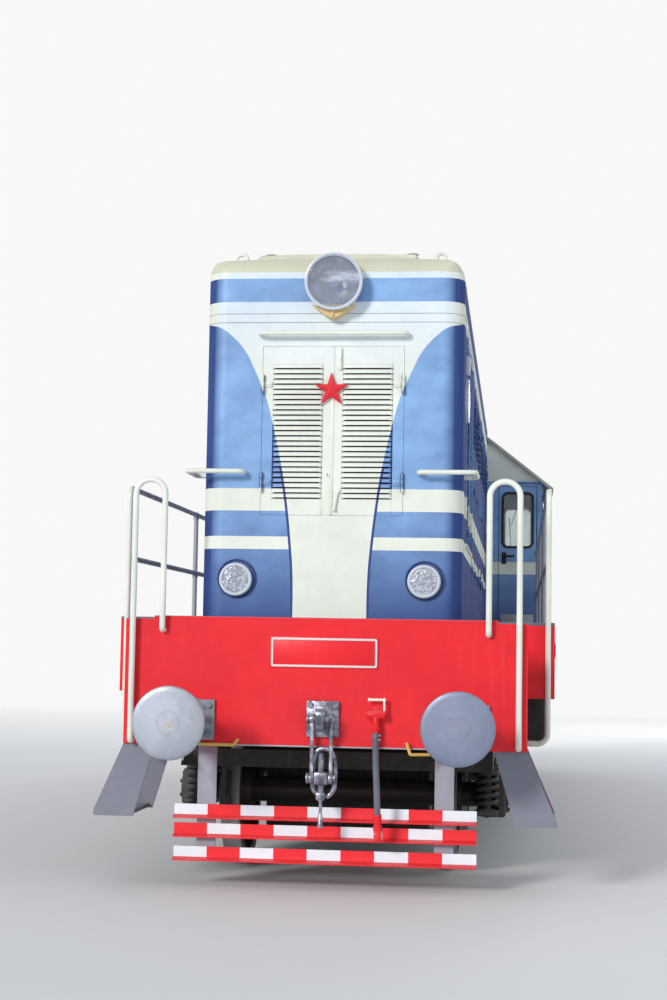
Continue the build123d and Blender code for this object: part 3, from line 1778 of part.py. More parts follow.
with BuildPart() as hose_head:
    head_plane = Plane(origin=hose_line.line @ 1, z_dir=hose_line.line % 1)
    with Locations(head_plane):
        Cylinder(
            hose_neck_diameter / 2,
            hose_neck_length,
            align=(Align.CENTER, Align.CENTER, Align.MIN),
        )
    with Locations(head_plane.offset(hose_head_offset)):
        Box(*hose_head_size)
write_piece(hose_head, "hose_coupling_head")
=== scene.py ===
import json
import math

import bmesh
import bpy
from mathutils import Matrix, Vector

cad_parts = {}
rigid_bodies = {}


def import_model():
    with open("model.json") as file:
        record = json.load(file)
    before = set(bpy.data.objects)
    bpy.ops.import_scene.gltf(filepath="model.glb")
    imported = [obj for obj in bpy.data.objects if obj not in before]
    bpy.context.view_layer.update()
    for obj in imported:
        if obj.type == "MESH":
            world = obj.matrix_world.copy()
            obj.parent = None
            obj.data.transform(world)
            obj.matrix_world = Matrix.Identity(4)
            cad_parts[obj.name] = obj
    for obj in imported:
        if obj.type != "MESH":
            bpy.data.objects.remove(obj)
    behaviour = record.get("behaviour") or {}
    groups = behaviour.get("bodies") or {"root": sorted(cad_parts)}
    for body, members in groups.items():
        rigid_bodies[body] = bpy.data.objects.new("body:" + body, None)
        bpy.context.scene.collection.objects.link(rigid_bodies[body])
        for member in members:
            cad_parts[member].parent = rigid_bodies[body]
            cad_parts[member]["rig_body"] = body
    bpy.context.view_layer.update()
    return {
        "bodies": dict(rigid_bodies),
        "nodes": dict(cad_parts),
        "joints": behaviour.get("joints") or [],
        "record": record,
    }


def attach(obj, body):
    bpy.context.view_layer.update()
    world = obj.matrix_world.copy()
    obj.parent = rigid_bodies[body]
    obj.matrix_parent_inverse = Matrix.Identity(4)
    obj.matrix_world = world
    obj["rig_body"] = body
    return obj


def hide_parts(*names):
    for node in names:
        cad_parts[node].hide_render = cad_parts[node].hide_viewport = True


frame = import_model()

nodes = frame["nodes"]
print("frame loaded:", len(nodes), "nodes")

# The photographer's place, worked out from the buffers and the beam
camera = {
    "place": (1.2322, -16.9371, 1.5639),
    "yaw": 6.211,
    "pitch": 4.831,
    "roll": 0.980,
    "lens": 61.93,  # for a 36 mm side along the height of 1000 px
    "sensor": 36,
}


def link(name, data):
    holder = bpy.data.objects.new(name, data)
    bpy.context.scene.collection.objects.link(holder)
    return holder


def placeCamera():
    data = bpy.data.cameras.new("camera")
    data.lens = camera["lens"]
    data.sensor_width = camera["sensor"]
    data.sensor_fit = "AUTO"
    data.clip_end = 200
    holder = link("camera", data)
    turn = Matrix.Rotation(math.radians(camera["yaw"]), 4, "Z")
    turn = turn @ Matrix.Rotation(math.radians(90 + camera["pitch"]), 4, "X")
    turn = turn @ Matrix.Rotation(math.radians(camera["roll"]), 4, "Z")
    holder.matrix_world = Matrix.Translation(camera["place"]) @ turn
    bpy.context.scene.camera = holder


placeCamera()

# Measures are kept in millimetres: across, from the front buffer faces, above the rails
overBuffers = 13260
flangeDepth = 28
beamFace = 620


def along(distance):
    return (distance - overBuffers / 2) / 1000


def high(height):
    return (height + flangeDepth) / 1000


def spot(across, distance, height):
    return Vector((across / 1000, along(distance), high(height)))


class Bench:
    # A material under way: its nodes are added and joined one by one
    def __init__(self, name, world=None):
        self.material = world or bpy.data.materials.new(name)
        self.material.use_nodes = True
        self.tree = self.material.node_tree
        if world:
            return  # a sky has neither the shader nor the places of a material
        self.shader = self.tree.nodes["Principled BSDF"]
        self.place = self.add("TexCoord").outputs["Object"]
        self.normal = self.add("NewGeometry").outputs["Normal"]
        self.x, self.y, self.z = self.add("SeparateXYZ", {0: self.place}).outputs
        self.facing = self.add("SeparateXYZ", {0: self.normal}).outputs

    def add(self, kind, feeds=None, **settings):
        node = self.tree.nodes.new("ShaderNode" + kind)
        for key, value in settings.items():
            setattr(node, key, value)
        for socket, source in (feeds or {}).items():
            self.feed(node.inputs[socket], source)
        return node

    def feed(self, socket, source):
        if isinstance(source, bpy.types.NodeSocket):
            self.tree.links.new(source, socket)
        else:
            socket.default_value = source

    def set(self, socket, source):
        self.feed(self.shader.inputs[socket], source)

    def sum(self, operation, first, second=0.0, third=0.0):
        return self.add("Math", {0: first, 1: second, 2: third}, operation=operation).outputs[0]

    def times(self, first, *others):
        for other in others:
            first = self.sum("MULTIPLY", first, other)
        return first

    def plus(self, first, second):
        return self.sum("ADD", first, second)

    def minus(self, first, second):
        return self.sum("SUBTRACT", first, second)

    def most(self, first, second):
        return self.sum("MAXIMUM", first, second)

    def reach(self, first, second):
        return self.sum("SQRT", self.plus(self.sum("POWER", first, 2), self.sum("POWER", second, 2)))

    def size(self, value):
        return self.sum("ABSOLUTE", value)

    def over(self, value, limit):
        return self.sum("GREATER_THAN", value, limit)

    def under(self, value, limit):
        return self.sum("LESS_THAN", value, limit)

    def noise(self, scale, detail=4, roughness=0.55, stretch=None, shift=(0, 0, 0)):
        spread = stretch or (1, 1, 1)
        mapped = self.add("Mapping", {"Vector": self.place, "Location": shift, "Scale": spread})
        feeds = {"Vector": mapped.outputs[0], "Scale": scale, "Detail": detail, "Roughness": roughness}
        return self.add("TexNoise", feeds).outputs[0]

    def spread(self, value, low, top, first=0.0, last=1.0):
        feeds = {"Value": value, "From Min": low, "From Max": top, "To Min": first, "To Max": last}
        return self.add("MapRange", feeds).outputs[0]

    def blend(self, share, first, second, mode="MIX"):
        mix = self.add("Mix", data_type="RGBA", blend_type=mode)
        self.feed(mix.inputs[0], share)
        for socket, source in ((mix.inputs[6], first), (mix.inputs[7], second)):
            flat = isinstance(source, tuple) and len(source) == 3
            self.feed(socket, (*source, 1) if flat else source)
        return mix.outputs[2]

    def ramp(self, value, stops, kind="LINEAR"):
        ramp = self.add("ValToRGB", {0: value})
        band = ramp.color_ramp
        band.interpolation = kind
        while len(band.elements) < len(stops):
            band.elements.new(0.5)
        for element, (place, colour) in zip(band.elements, stops):
            element.position = place
            element.color = (*colour, 1)
        return ramp.outputs[0]

    def bump(self, layers):
        normal = None
        for height, distance, strength in layers:
            feeds = {"Height": height, "Distance": distance, "Strength": strength}
            if normal is not None:
                feeds["Normal"] = normal
            normal = self.add("Bump", feeds).outputs[0]
        self.set("Normal", normal)


# Paint that has stood outdoors: patchy tone, dust on what faces up, runs, fine grain and soft dents
paintWear = {
    "tone": 0.10,
    "dust": 0.25,
    "dustColour": (0.34, 0.31, 0.26),
    "runs": 0.10,
    "rust": 0.0,
    "rustColour": (0.16, 0.06, 0.025),
    "roughness": (0.30, 0.48),
    "coat": 0.12,
    "specular": 0.35,
    "dents": 0.0022,
    "dentScale": 2.2,
    "grain": 0.00012,
    "grainScale": 420,
    "metal": 0.0,
    "lowDirt": 0.0,  # dirt that thins out upwards from the wheels
    "tread": 0.0,  # height of the lozenges on what faces up
}


def weather(bench, colour, **changes):
    wear = {**paintWear, **changes}
    patches = bench.noise(1.7, 4, 0.6, shift=(3.1, 0.4, 1.9))
    clouds = bench.noise(9, 5, 0.62, shift=(0.3, 5.2, 8.1))
    light = bench.spread(patches, 0.3, 0.7, 1 - wear["tone"], 1 + wear["tone"] * 0.6)
    light = bench.times(light, bench.spread(clouds, 0.25, 0.75, 1 - wear["tone"] * 0.6, 1.02))
    tinted = bench.add(
        "VectorMath", {0: colour if not isinstance(colour, tuple) else Vector(colour)}, operation="SCALE"
    )
    bench.feed(tinted.inputs["Scale"], light)
    shade = tinted.outputs[0]
    if wear["runs"]:
        runs = bench.noise(1, 4, 0.6, stretch=(26, 26, 1.1), shift=(7.7, 1.3, 0))
        runs = bench.spread(runs, 0.55, 0.78, 0, wear["runs"])
        shade = bench.blend(runs, shade, wear["dustColour"])
    if wear["rust"]:
        spots = bench.noise(34, 6, 0.68, shift=(2.2, 9.4, 5.5))
        zones = bench.noise(2.6, 3, 0.6, shift=(6.1, 2.2, 0.7))
        mask = bench.times(bench.spread(spots, 0.57, 0.66), bench.spread(zones, 0.46, 0.66))
        shade = bench.blend(bench.times(mask, wear["rust"]), shade, wear["rustColour"])
    up = bench.facing[2]
    settled = bench.times(bench.spread(up, 0.25, 0.95), bench.spread(clouds, 0.2, 0.7, 0.5, 1.0))
    dirt = bench.times(settled, wear["dust"])
    if wear["lowDirt"]:
        low = bench.times(bench.spread(bench.z, 0.2, 1.5, wear["lowDirt"], 0), bench.spread(clouds, 0.3, 0.7, 0.3, 1.0))
        dirt = bench.most(dirt, low)
    shade = bench.blend(dirt, shade, wear["dustColour"])
    bench.set("Base Color", shade)
    smooth, rough = wear["roughness"]
    gloss = bench.spread(bench.noise(14, 5, 0.65, shift=(1.5, 2.5, 3.5)), 0.3, 0.7, smooth, rough)
    gloss = bench.most(gloss, bench.times(dirt, 1.6))
    bench.set("Roughness", gloss)
    bench.set("Coat Weight", wear["coat"])
    bench.set("Coat Roughness", 0.15)
    bench.set("Specular IOR Level", wear["specular"])
    bench.set("Metallic", wear["metal"])
    layers = [(bench.noise(wear["grainScale"], 3, 0.6), wear["grain"], 1.0)]
    if wear["dents"]:
        layers.insert(0, (bench.noise(wear["dentScale"], 2, 0.5), wear["dents"], 1.0))
    if wear["tread"]:
        slant = [bench.sum("SINE", bench.times(bench.sum(way, bench.x, bench.y), 150)) for way in ("ADD", "SUBTRACT")]
        lozenge = bench.spread(bench.times(*slant), 0.25, 0.6)
        flat = bench.spread(up, 0.8, 0.95)
        layers.append((bench.times(lozenge, flat), wear["tread"], 1.0))
    bench.bump(layers)
    return bench.material


# Colours as the photograph shows them, in linear light
colours = {
    "blue": (0.035, 0.066, 0.240),
    # Painted light: the pale blue that sunlit end faces show
    "paintedLitBlue": (0.265, 0.465, 0.790),
    "darkBlue": (0.040, 0.085, 0.280),
    "cream": (0.83, 0.86, 0.77),
    # Painted shade: a darker cream for the roof rounding, where shade falls
    "shadedCreamTop": (0.66, 0.66, 0.51),
    "red": (0.86, 0.018, 0.030),
    "starRed": (0.74, 0.020, 0.036),
    "white": (0.72, 0.73, 0.72),
    "yellow": (0.78, 0.50, 0.10),
    "insideGrey": (0.10, 0.105, 0.11),
    "stepGrey": (0.20, 0.215, 0.28),
    "deckGrey": (0.15, 0.165, 0.22),
    "railGrey": (0.40, 0.41, 0.45),
    "underBlack": (0.014, 0.013, 0.014),
    "bogieGrey": (0.026, 0.025, 0.026),
    "roofGrey": (0.46, 0.46, 0.41),
    "rubber": (0.018, 0.018, 0.020),
    "hoseGrey": (0.165, 0.165, 0.210),
    "rimGrey": (0.62, 0.67, 0.74),
    # Painted shade: cream in the warm shade under the headlight
    "bracketShadeTan": (0.72, 0.52, 0.24),
    "seamGrey": (0.16, 0.16, 0.17),
    "discRed": (0.62, 0.05, 0.06),
    "deskGrey": (0.20, 0.23, 0.23),
    # Painted reflection: the bluish cast of sky light on pale paint
    "paintedSkyTint": (0.755, 0.845, 0.94),
}

# Heights of the painted bands, above the rails
bandTable = {
    "bonnet": (
        (1600, "blue"),
        (2151, "cream"),
        (2237, "blue"),
        (2404, "cream"),
        (2556, "blue"),
        (3665, "cream"),
        (3798, "blue"),
        (3952, "cream"),
        # Painted shade: above this height the roof rounding takes the darker cream
        (3996, "shadedCreamTop"),
    ),
    "cab": (
        (1600, "blue"),
        (2352, "cream"),
        (2486, "blue"),
        (3395, "cream"),
    ),
}

# Half width of the cream field on the nose at each height
noseField = (
    (1690, 243),
    (2008, 247),
    (2228, 265),
    (2400, 284),
    (2600, 313),
    (2821, 357),
    (3012, 402),
    (3156, 442),
    (3261, 485),
    (3368, 533),
    (3461, 580),
    (3586, 692),
    (3634, 762),
    (3676, 862),
    (3740, 895),
)
fieldLow, fieldTop, fieldWide = 1690, 3740, 900
noseStart = 985  # the field ends where the nose turns into the sides
bandGap = 17


def bandColour(bench, table):
    low, top = table[0][0], 4300
    share = bench.spread(bench.z, high(low), high(top))
    stops = [((height - low) / (top - low), colours[name]) for height, name in table]
    return bench.ramp(share, stops, "CONSTANT")


def fieldMasks(bench):
    # Returns where the cream field is, and the thin blue line beside it
    share = bench.spread(bench.z, high(fieldLow), high(fieldTop))
    curve = bench.add("FloatCurve", {1: share})
    points = curve.mapping.curves[0].points
    while len(points) < len(noseField):
        points.new(0.5, 0.5)
    for point, (height, half) in zip(points, noseField):
        point.location = ((height - fieldLow) / (fieldTop - fieldLow), half / fieldWide)
    curve.mapping.update()
    half = bench.times(curve.outputs[0], fieldWide / 1000)
    across = bench.size(bench.x)
    ahead = bench.over(bench.size(bench.y), -along(noseStart))
    below = bench.under(bench.z, high(3700))
    zone = bench.times(ahead, below)
    inside = bench.times(zone, bench.under(across, half))
    line = bench.under(across, bench.plus(half, bandGap / 1000))
    line = bench.times(bench.times(zone, line), bench.under(bench.z, high(2700)))
    return inside, line


def paintedEndLight(bench):
    # Painted light: the end faces turn a paler blue, most of all high up, standing in for sunlight on them
    ends = bench.size(bench.facing[1])
    rise = bench.spread(bench.z, 1.75, 2.60, 0.12, 1.0)
    patches = bench.spread(bench.noise(2.4, 4, 0.6, stretch=(1, 1, 1.7), shift=(4.4, 1.2, 6.3)), 0.3, 0.7, 0.62, 1.12)
    return bench.times(bench.times(bench.spread(ends, 0.80, 0.99, 0.03, 1), rise), patches)


def dullFlanks(bench, coat=0.14):
    # The long sides have gone dull
    flank = bench.size(bench.facing[0])
    gloss = bench.shader.inputs["Roughness"].links[0].from_socket
    bench.set("Roughness", bench.most(gloss, bench.spread(flank, 0.12, 0.6, 0.0, 0.9)))
    bench.set("Coat Weight", bench.spread(flank, 0.12, 0.6, coat, 0.0))


def redFinish():
    bench = Bench("redPaint")
    made = weather(bench, colours["red"], specular=0.25, tone=0.12, runs=0.06, dust=0.35, lowDirt=0.05, dentScale=1.6)
    dullFlanks(bench, 0.06)
    return made


def insideMask(bench):
    # Faces that look into the bonnet: side walls, the two ends and the underside of the roof
    sides = bench.under(bench.times(bench.x, bench.facing[0]), -0.25)
    ends = bench.under(bench.times(bench.y, bench.facing[1]), along(2000))
    nearEnds = bench.over(bench.size(bench.y), -along(1000))
    roof = bench.times(bench.under(bench.facing[2], -0.5), bench.over(bench.z, high(3900)))
    return bench.most(bench.most(sides, roof), bench.times(ends, nearEnds))


def liveryFinish(name, table, field=True, **changes):
    bench = Bench(name)
    colour = bandColour(bench, table)
    bluePaint = bench.under(bench.add("SeparateColor", {0: colour}).outputs[0], 0.5)
    # Painted light: blue on the end faces is lifted towards a pale, sunlit blue
    paintedLightShare = bench.times(paintedEndLight(bench), bluePaint)
    colour = bench.blend(paintedLightShare, colour, colours["paintedLitBlue"])
    if field:
        inside, line = fieldMasks(bench)
        colour = bench.blend(line, colour, colours["blue"])
        colour = bench.blend(inside, colour, colours["cream"])
        # Painted reflection: pale paint high on the nose ends turns bluish, standing in for sky light on it
        ends = bench.size(bench.facing[1])
        paintedSkyTint = bench.times(bench.spread(ends, 0.80, 0.99), bench.spread(bench.z, 3.25, 3.80))
        pale = bench.over(bench.add("SeparateColor", {0: colour}).outputs[0], 0.72)
        colour = bench.blend(bench.times(paintedSkyTint, pale), colour, colours["paintedSkyTint"])
        colour = bench.blend(insideMask(bench), colour, colours["insideGrey"])
    made = weather(bench, colour, **changes)
    dullFlanks(bench)
    return made


def stepFinish():
    # The outer edges of the step plates are red, like the sills above them
    bench = Bench("stepPaint")
    edge = bench.over(bench.size(bench.facing[0]), 0.85)
    outer = bench.over(bench.times(bench.x, bench.facing[0]), 0)
    colour = bench.blend(bench.times(edge, outer), colours["stepGrey"], colours["red"])
    return weather(bench, colour, coat=0.05, roughness=(0.35, 0.6), rust=0.35, lowDirt=0.2, runs=0.15, tread=0.0014)


def deckFinish():
    # Grey on top with a raised lozenge tread, red along the front edge
    bench = Bench("deckPaint")
    front = bench.over(bench.size(bench.y), -along(632))
    upright = bench.under(bench.facing[2], 0.5)
    colour = bench.blend(bench.times(front, upright), colours["deckGrey"], colours["red"])
    return weather(bench, colour, coat=0.0, roughness=(0.45, 0.7), dust=0.4, rust=0.2, dents=0.0, tread=0.0016)


underWear = {"roughness": (0.45, 0.75), "dust": 0.35, "runs": 0.12, "rust": 0.3, "tone": 0.22, "lowDirt": 0.16}
matt = {"coat": 0.0, "dents": 0.0}
plainTable = (
    ("cream", "creamPaint", "cream", {"runs": 0.05}),
    ("white", "whitePaint", "white", {"runs": 0.05}),
    ("yellow", "yellowPaint", "yellow", {"rust": 0.4, "runs": 0.15}),
    ("rails", "railPaint", "railGrey", {"coat": 0.1, "rust": 0.25, "roughness": (0.3, 0.55)}),
    (
        "roof", "roofPaint", "roofGrey",
        {"coat": 0.0, "dents": 0.0022, "roughness": (0.45, 0.7), "dust": 0.5, "runs": 0.2},
    ),
    ("under", "underPaint", "underBlack", {**matt, **underWear}),
    ("bogie", "bogiePaint", "bogieGrey", {**matt, **underWear}),
    ("rubber", "blackRubber", "rubber", {**matt, "roughness": (0.5, 0.75), "tone": 0.2, "runs": 0.05}),
    ("hose", "hoseRubber", "hoseGrey", {
        **matt, "roughness": (0.38, 0.62), "tone": 0.25, "runs": 0.2, "dust": 0.5, "grain": 0.0006, "grainScale": 260,
    }),
    ("rim", "lampRim", "rimGrey", {"coat": 0.3, "roughness": (0.2, 0.36), "rust": 0.15, "tone": 0.08, "runs": 0.05}),
    ("darkBlue", "darkBluePaint", "darkBlue", {}),
    ("bracket", "bracketPaintedShade", "bracketShadeTan", {"coat": 0.1, "roughness": (0.35, 0.55)}),
    ("seam", "seamShadow", "seamGrey", {**matt, "roughness": (0.5, 0.8), "tone": 0.2, "runs": 0.1}),
    ("disc", "discPaint", "discRed", {"coat": 0.4, "roughness": (0.2, 0.35), "tone": 0.12}),
    ("desk", "deskPaint", "deskGrey", {"coat": 0.1, "roughness": (0.35, 0.55)}),
    ("starRed", "starPaint", "starRed", {"roughness": (0.18, 0.3), "dust": 0.15, "runs": 0.0}),
)
finishes = {
    "livery": liveryFinish("bonnetLivery", bandTable["bonnet"], runs=0.07, specular=0.22),
    "cabLivery": liveryFinish("cabLivery", bandTable["cab"], field=False, runs=0.12, specular=0.22),
    "red": redFinish(),
    "steps": stepFinish(),
    "deck": deckFinish(),
}
for key, name, colour, changes in plainTable:
    finishes[key] = weather(Bench(name), colours[colour], **{"dents": 0.0, **changes})
print("paints mixed:", len(finishes))

forward = (0, -1, 0)
upward = (0, 0, 1)


def show(name, shape, finish, body="locomotive", slot=None, replaces=(), smooth=23, bevel=0.0, segments=2, weld=1e-6):
    # Turns a bmesh into a piece that rides on a body
    bmesh.ops.remove_doubles(shape, verts=shape.verts, dist=weld)
    bmesh.ops.recalc_face_normals(shape, faces=shape.faces)
    mesh = bpy.data.meshes.new(name)
    shape.to_mesh(mesh)
    shape.free()
    return showMesh(name, mesh, finish, body, replaces, smooth, bevel, segments)


def showMesh(name, mesh, finish, body, replaces, smooth=35, bevel=0.0, segments=2):
    mesh.shade_smooth()
    mesh.set_sharp_from_angle(angle=math.radians(smooth))
    mesh.materials.clear()
    for each in finish if isinstance(finish, (list, tuple)) else (finish,):
        mesh.materials.append(finishes[each])
    piece = link(name, mesh)
    if bevel:
        edge = piece.modifiers.new("edge", "BEVEL")
        edge.width = bevel
        edge.segments = segments
        edge.limit_method = "ANGLE"
        edge.angle_limit = math.radians(40)
        edge.use_clamp_overlap = True
        edge.harden_normals = True
    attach(piece, body)
    if replaces:
        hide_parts(*replaces)
    return piece


def dress(node, finish, bevel=0.003, segments=2, smooth=35, keep=None):
    # A merged copy of a CAD node with softened edges, in the node's stead
    source = nodes[node]
    shape = bmesh.new()
    shape.from_mesh(source.data)
    bmesh.ops.remove_doubles(shape, verts=shape.verts, dist=2e-5)
    bmesh.ops.dissolve_limit(shape, angle_limit=math.radians(0.5), verts=shape.verts, edges=shape.edges)
    if keep:
        keep(shape)
    mesh = bpy.data.meshes.new(node + "_dressed")
    shape.to_mesh(mesh)
    shape.free()
    return showMesh(node + "_dressed", mesh, finish, source["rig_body"], (node,), smooth, bevel, segments)


def paint(finish, *names):
    # A CAD node whose shape is right only takes a finish
    for name in names:
        slots = nodes[name].material_slots
        for slot in slots:
            slot.material = finishes[finish]


def at(place):
    # Places are vectors in metres, or measures in millimetres for spot
    return place if isinstance(place, Vector) else spot(*place)


def vertsOf(made):
    return [item for item in made["geom"] if isinstance(item, bmesh.types.BMVert)]


def lift(step):
    return Vector((0, 0, step))


def edgesOf(verts):
    return list({edge for vert in verts for edge in vert.link_edges})


def softenEdges(shape, edges, width, segments=2):
    settings = {"affect": "EDGES", "profile": 0.5, "material": -1, "clamp_overlap": True}
    bmesh.ops.bevel(shape, geom=list(edges), offset=width, segments=segments, **settings)


def finalMesh(holder):
    return bpy.data.meshes.new_from_object(holder.evaluated_get(bpy.context.evaluated_depsgraph_get()))


def block(shape, centre, size, soften=0.0, segments=2, turn=None):
    placed = Matrix.Translation(at(centre))
    if turn is not None:
        placed = placed @ turn.to_4x4()
    made = bmesh.ops.create_cube(shape, size=1, matrix=placed @ Matrix.Diagonal((*size, 1)))
    if soften:
        softenEdges(shape, edgesOf(made["verts"]), soften, segments)
    return made["verts"]


def rod(shape, start, end, radius, sides=20, soften=0.0, tip=None):
    start, end = at(start), at(end)
    run = end - start
    placed = Matrix.Translation((start + end) / 2) @ run.to_track_quat("Z", "Y").to_matrix().to_4x4()
    made = bmesh.ops.create_cone(
        shape, cap_ends=True, segments=sides, radius1=radius, radius2=radius if tip is None else tip, depth=run.length,
        matrix=placed,
    )
    if soften:
        rims = [edge for edge in edgesOf(made["verts"]) if len(edge.link_faces) == 2 and edge.calc_face_angle(0) > 1.0]
        softenEdges(shape, rims, soften)
    return made["verts"]


def turned(shape, profile, centre, direction, steps=48):
    # Spins a profile of (radius, reach) pairs about a line through the centre
    track = Vector(direction).to_track_quat("Z", "Y").to_matrix().to_4x4()
    placed = Matrix.Translation(centre) @ track
    verts = [shape.verts.new(placed @ Vector((radius, 0, reach))) for radius, reach in profile]
    edges = [shape.edges.new(pair) for pair in zip(verts, verts[1:])]
    axis = placed.to_3x3() @ lift(1)
    bmesh.ops.spin(
        shape, geom=verts + edges, cent=centre, axis=axis, angle=math.tau, steps=steps, use_merge=True,
        use_duplicate=False,
    )


def studs(shape, places, direction, width=0.022, height=0.012, washer=True):
    # Hexagon heads with a washer under each
    step = Vector(direction).normalized()
    for place in places:
        place = Vector(place)
        if washer:
            rod(shape, place, place + step * height * 0.25, width * 0.72, 16)
        rod(shape, place + step * height * 0.2, place + step * height, width / 2, 6)


def plate(shape, outline, normal, thickness, origin=(0, 0, 0), up=upward):
    # A flat outline given as (right, up) pairs, grown along the normal
    normal = Vector(normal).normalized()
    rise = Vector(up).normalized()
    right = rise.cross(normal)
    verts = [shape.verts.new(Vector(origin) + right * a + rise * b) for a, b in outline]
    face = shape.faces.new(verts)
    grown = bmesh.ops.extrude_face_region(shape, geom=[face])
    fresh = vertsOf(grown)
    bmesh.ops.translate(shape, verts=fresh, vec=normal * thickness)
    return fresh


def ringFrame(shape, centre, across, up, size, corner, width, depth):
    # A rounded frame: a plate with bevelled corners, inset, opened and grown outwards
    across, up = Vector(across), Vector(up)
    normal = across.cross(up)
    placed = Matrix((across, up, normal)).transposed().to_4x4()
    placed = Matrix.Translation(centre) @ placed @ Matrix.Diagonal((*size, 1, 1))
    made = bmesh.ops.create_grid(shape, x_segments=1, y_segments=1, size=0.5, matrix=placed)
    cut = bmesh.ops.bevel(
        shape, geom=made["verts"], offset=corner, segments=7, affect="VERTICES", profile=0.5, material=-1
    )
    middle = max({face for vert in cut["verts"] for face in vert.link_faces}, key=lambda face: face.calc_area())
    ring = bmesh.ops.inset_region(shape, faces=[middle], thickness=width, use_boundary=True, use_even_offset=True)[
        "faces"
    ]
    bmesh.ops.delete(shape, geom=[middle], context="FACES_ONLY")
    grown = bmesh.ops.extrude_face_region(shape, geom=ring, use_keep_orig=True)
    fresh = vertsOf(grown)
    bmesh.ops.translate(shape, verts=fresh, vec=normal * depth)


def turnRound(shape, verts, middle=0.0):
    bmesh.ops.rotate(shape, verts=verts, cent=(0, middle, 0), matrix=Matrix.Rotation(math.pi, 3, "Z"))


def bothEnds(shape, middle=0.0):
    made = bmesh.ops.duplicate(shape, geom=shape.verts[:] + shape.edges[:] + shape.faces[:])
    turnRound(shape, vertsOf(made), middle)


def around(centre, radius, angles, axis):
    # Places on a circle: axis 0 runs across, 1 along and 2 up
    first, second = [other for other in range(3) if other != axis]
    places = []
    for angle in angles:
        place = Vector(centre)
        place[first] += math.cos(angle) * radius
        place[second] += math.sin(angle) * radius
        places.append(place)
    return places


def loopOf(across, start, end, low, top):
    corners = ((start, low), (end, low), (end, top), (start, top), (start, low))
    return [spot(across, distance, height) for distance, height in corners]


def newShapes(count):
    return [bmesh.new() for each in range(count)]


def bothSides(shape):
    made = bmesh.ops.duplicate(shape, geom=shape.verts[:] + shape.edges[:] + shape.faces[:])
    faces = [item for item in made["geom"] if isinstance(item, bmesh.types.BMFace)]
    bmesh.ops.scale(shape, verts=vertsOf(made), vec=(-1, 1, 1))
    bmesh.ops.reverse_faces(shape, faces=faces)


def newLine(name, radius, resolution, steps=12):
    line = bpy.data.curves.new(name, "CURVE")
    line.dimensions = "3D"
    line.bevel_depth = radius
    line.bevel_resolution = resolution
    line.resolution_u = steps
    line.use_fill_caps = True
    return line


def tube(name, paths, radius, finish, body="locomotive", slot=None, replaces=(), corner=0.04, sides=6):
    # Bent tubes: a path's corners are cut short and bridged by curve handles
    line = newLine(name, radius, sides, 8)
    for path in paths:
        points = [Vector(point) for point in path]
        spline = line.splines.new("BEZIER")
        knots = [(points[0], None)]
        for before, here, after in zip(points, points[1:], points[2:]):
            cut = min(corner, (here - before).length * 0.49, (after - here).length * 0.49)
            knots.append((here + (before - here).normalized() * cut, here))
            knots.append((here + (after - here).normalized() * cut, here))
        knots.append((points[-1], None))
        spline.bezier_points.add(len(knots) - 1)
        for index, (bezier, (place, bend)) in enumerate(zip(spline.bezier_points, knots)):
            bezier.co = place
            bezier.handle_left_type = bezier.handle_right_type = "FREE"
            bezier.handle_left = bezier.handle_right = place
            if bend is not None:
                pull = place + (bend - place) * 0.55
                if index % 2:
                    bezier.handle_right = pull
                else:
                    bezier.handle_left = pull
    holder = link(name + "Line", line)
    mesh = finalMesh(holder)
    bpy.data.objects.remove(holder)
    shape = bmesh.new()
    shape.from_mesh(mesh)
    bpy.data.meshes.remove(mesh)
    return show(name, shape, finish, body, slot, replaces)


print("tools ready")

# The brake pipe's hose, from the cock down to its head
hose = {
    "route": (
        (0.341, -6.060, 1.021), (0.341, -6.060, 0.898), (0.348, -6.068, 0.743), (0.356, -6.060, 0.588),
        (0.358, -6.034, 0.461),
    ),
    "diameter": 0.041,
    "length": 0.563,
}


def makeHead():
    shape = bmesh.new()
    end = Vector(hose["route"][-1])
    run = (end - Vector(hose["route"][-2])).normalized()
    rod(shape, end - run * 0.052, end + run * 0.006, 0.0265, 28, 0.003)
    rod(shape, end, end + run * 0.050, 0.0225, 24, tip=0.030)
    low = end + run * 0.082
    rod(shape, low - Vector((0.022, 0, 0)), low + Vector((0.022, 0, 0)), 0.043, 36, 0.006)
    block(shape, low + lift(0.020), (0.040, 0.050, 0.060), 0.010, 3)
    block(shape, low + Vector((0, -0.030, -0.020)), (0.034, 0.040, 0.030), 0.008, 3)
    head = show("hoseHead", shape, "red", replaces=("hose_coupling_head",))
    seal = bmesh.new()
    for side in (-1, 1):
        turned(
            seal, ((0.012, 0.0), (0.012, 0.006), (0.022, 0.008), (0.030, 0.006), (0.030, 0.0)),
            low + Vector((side * 0.020, 0, 0)), (side, 0, 0), 32,
        )
    ring = show("hoseSeal", seal, "white")
    return head, ring


def makeHose():
    line = newLine("brakeHose", hose["diameter"] / 2, 8, 24)
    spline = line.splines.new("NURBS")
    spline.points.add(len(hose["route"]) - 1)
    for point, place in zip(spline.points, hose["route"]):
        point.co = (*place, 1)
    spline.order_u = 3
    spline.use_endpoint_u = True
    line.materials.append(finishes["hose"])
    piece = link("brakeHose", line)
    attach(piece, "locomotive")
    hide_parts("brake_hose")
    makeHead()


makeHose()

print("hose made")


# Nodes whose shape is right take a finish, or a copy with softened edges
paint("livery", "bonnet_nose", "bonnet_sides", "bonnet_roof", "rear_bonnet", "radiator_shutters")
for side in ("left", "right"):
    paint("livery", f"bonnet_door_{side}_fore", f"bonnet_door_{side}_aft")
paint("under", "fuel_tank", "engine_block", "main_sills", "cross_bearers", "bolsters", "exhaust_rim")
paint("cream", "handrails", "lifting_hooks")
paint("rails", "side_rails", "rail_posts")


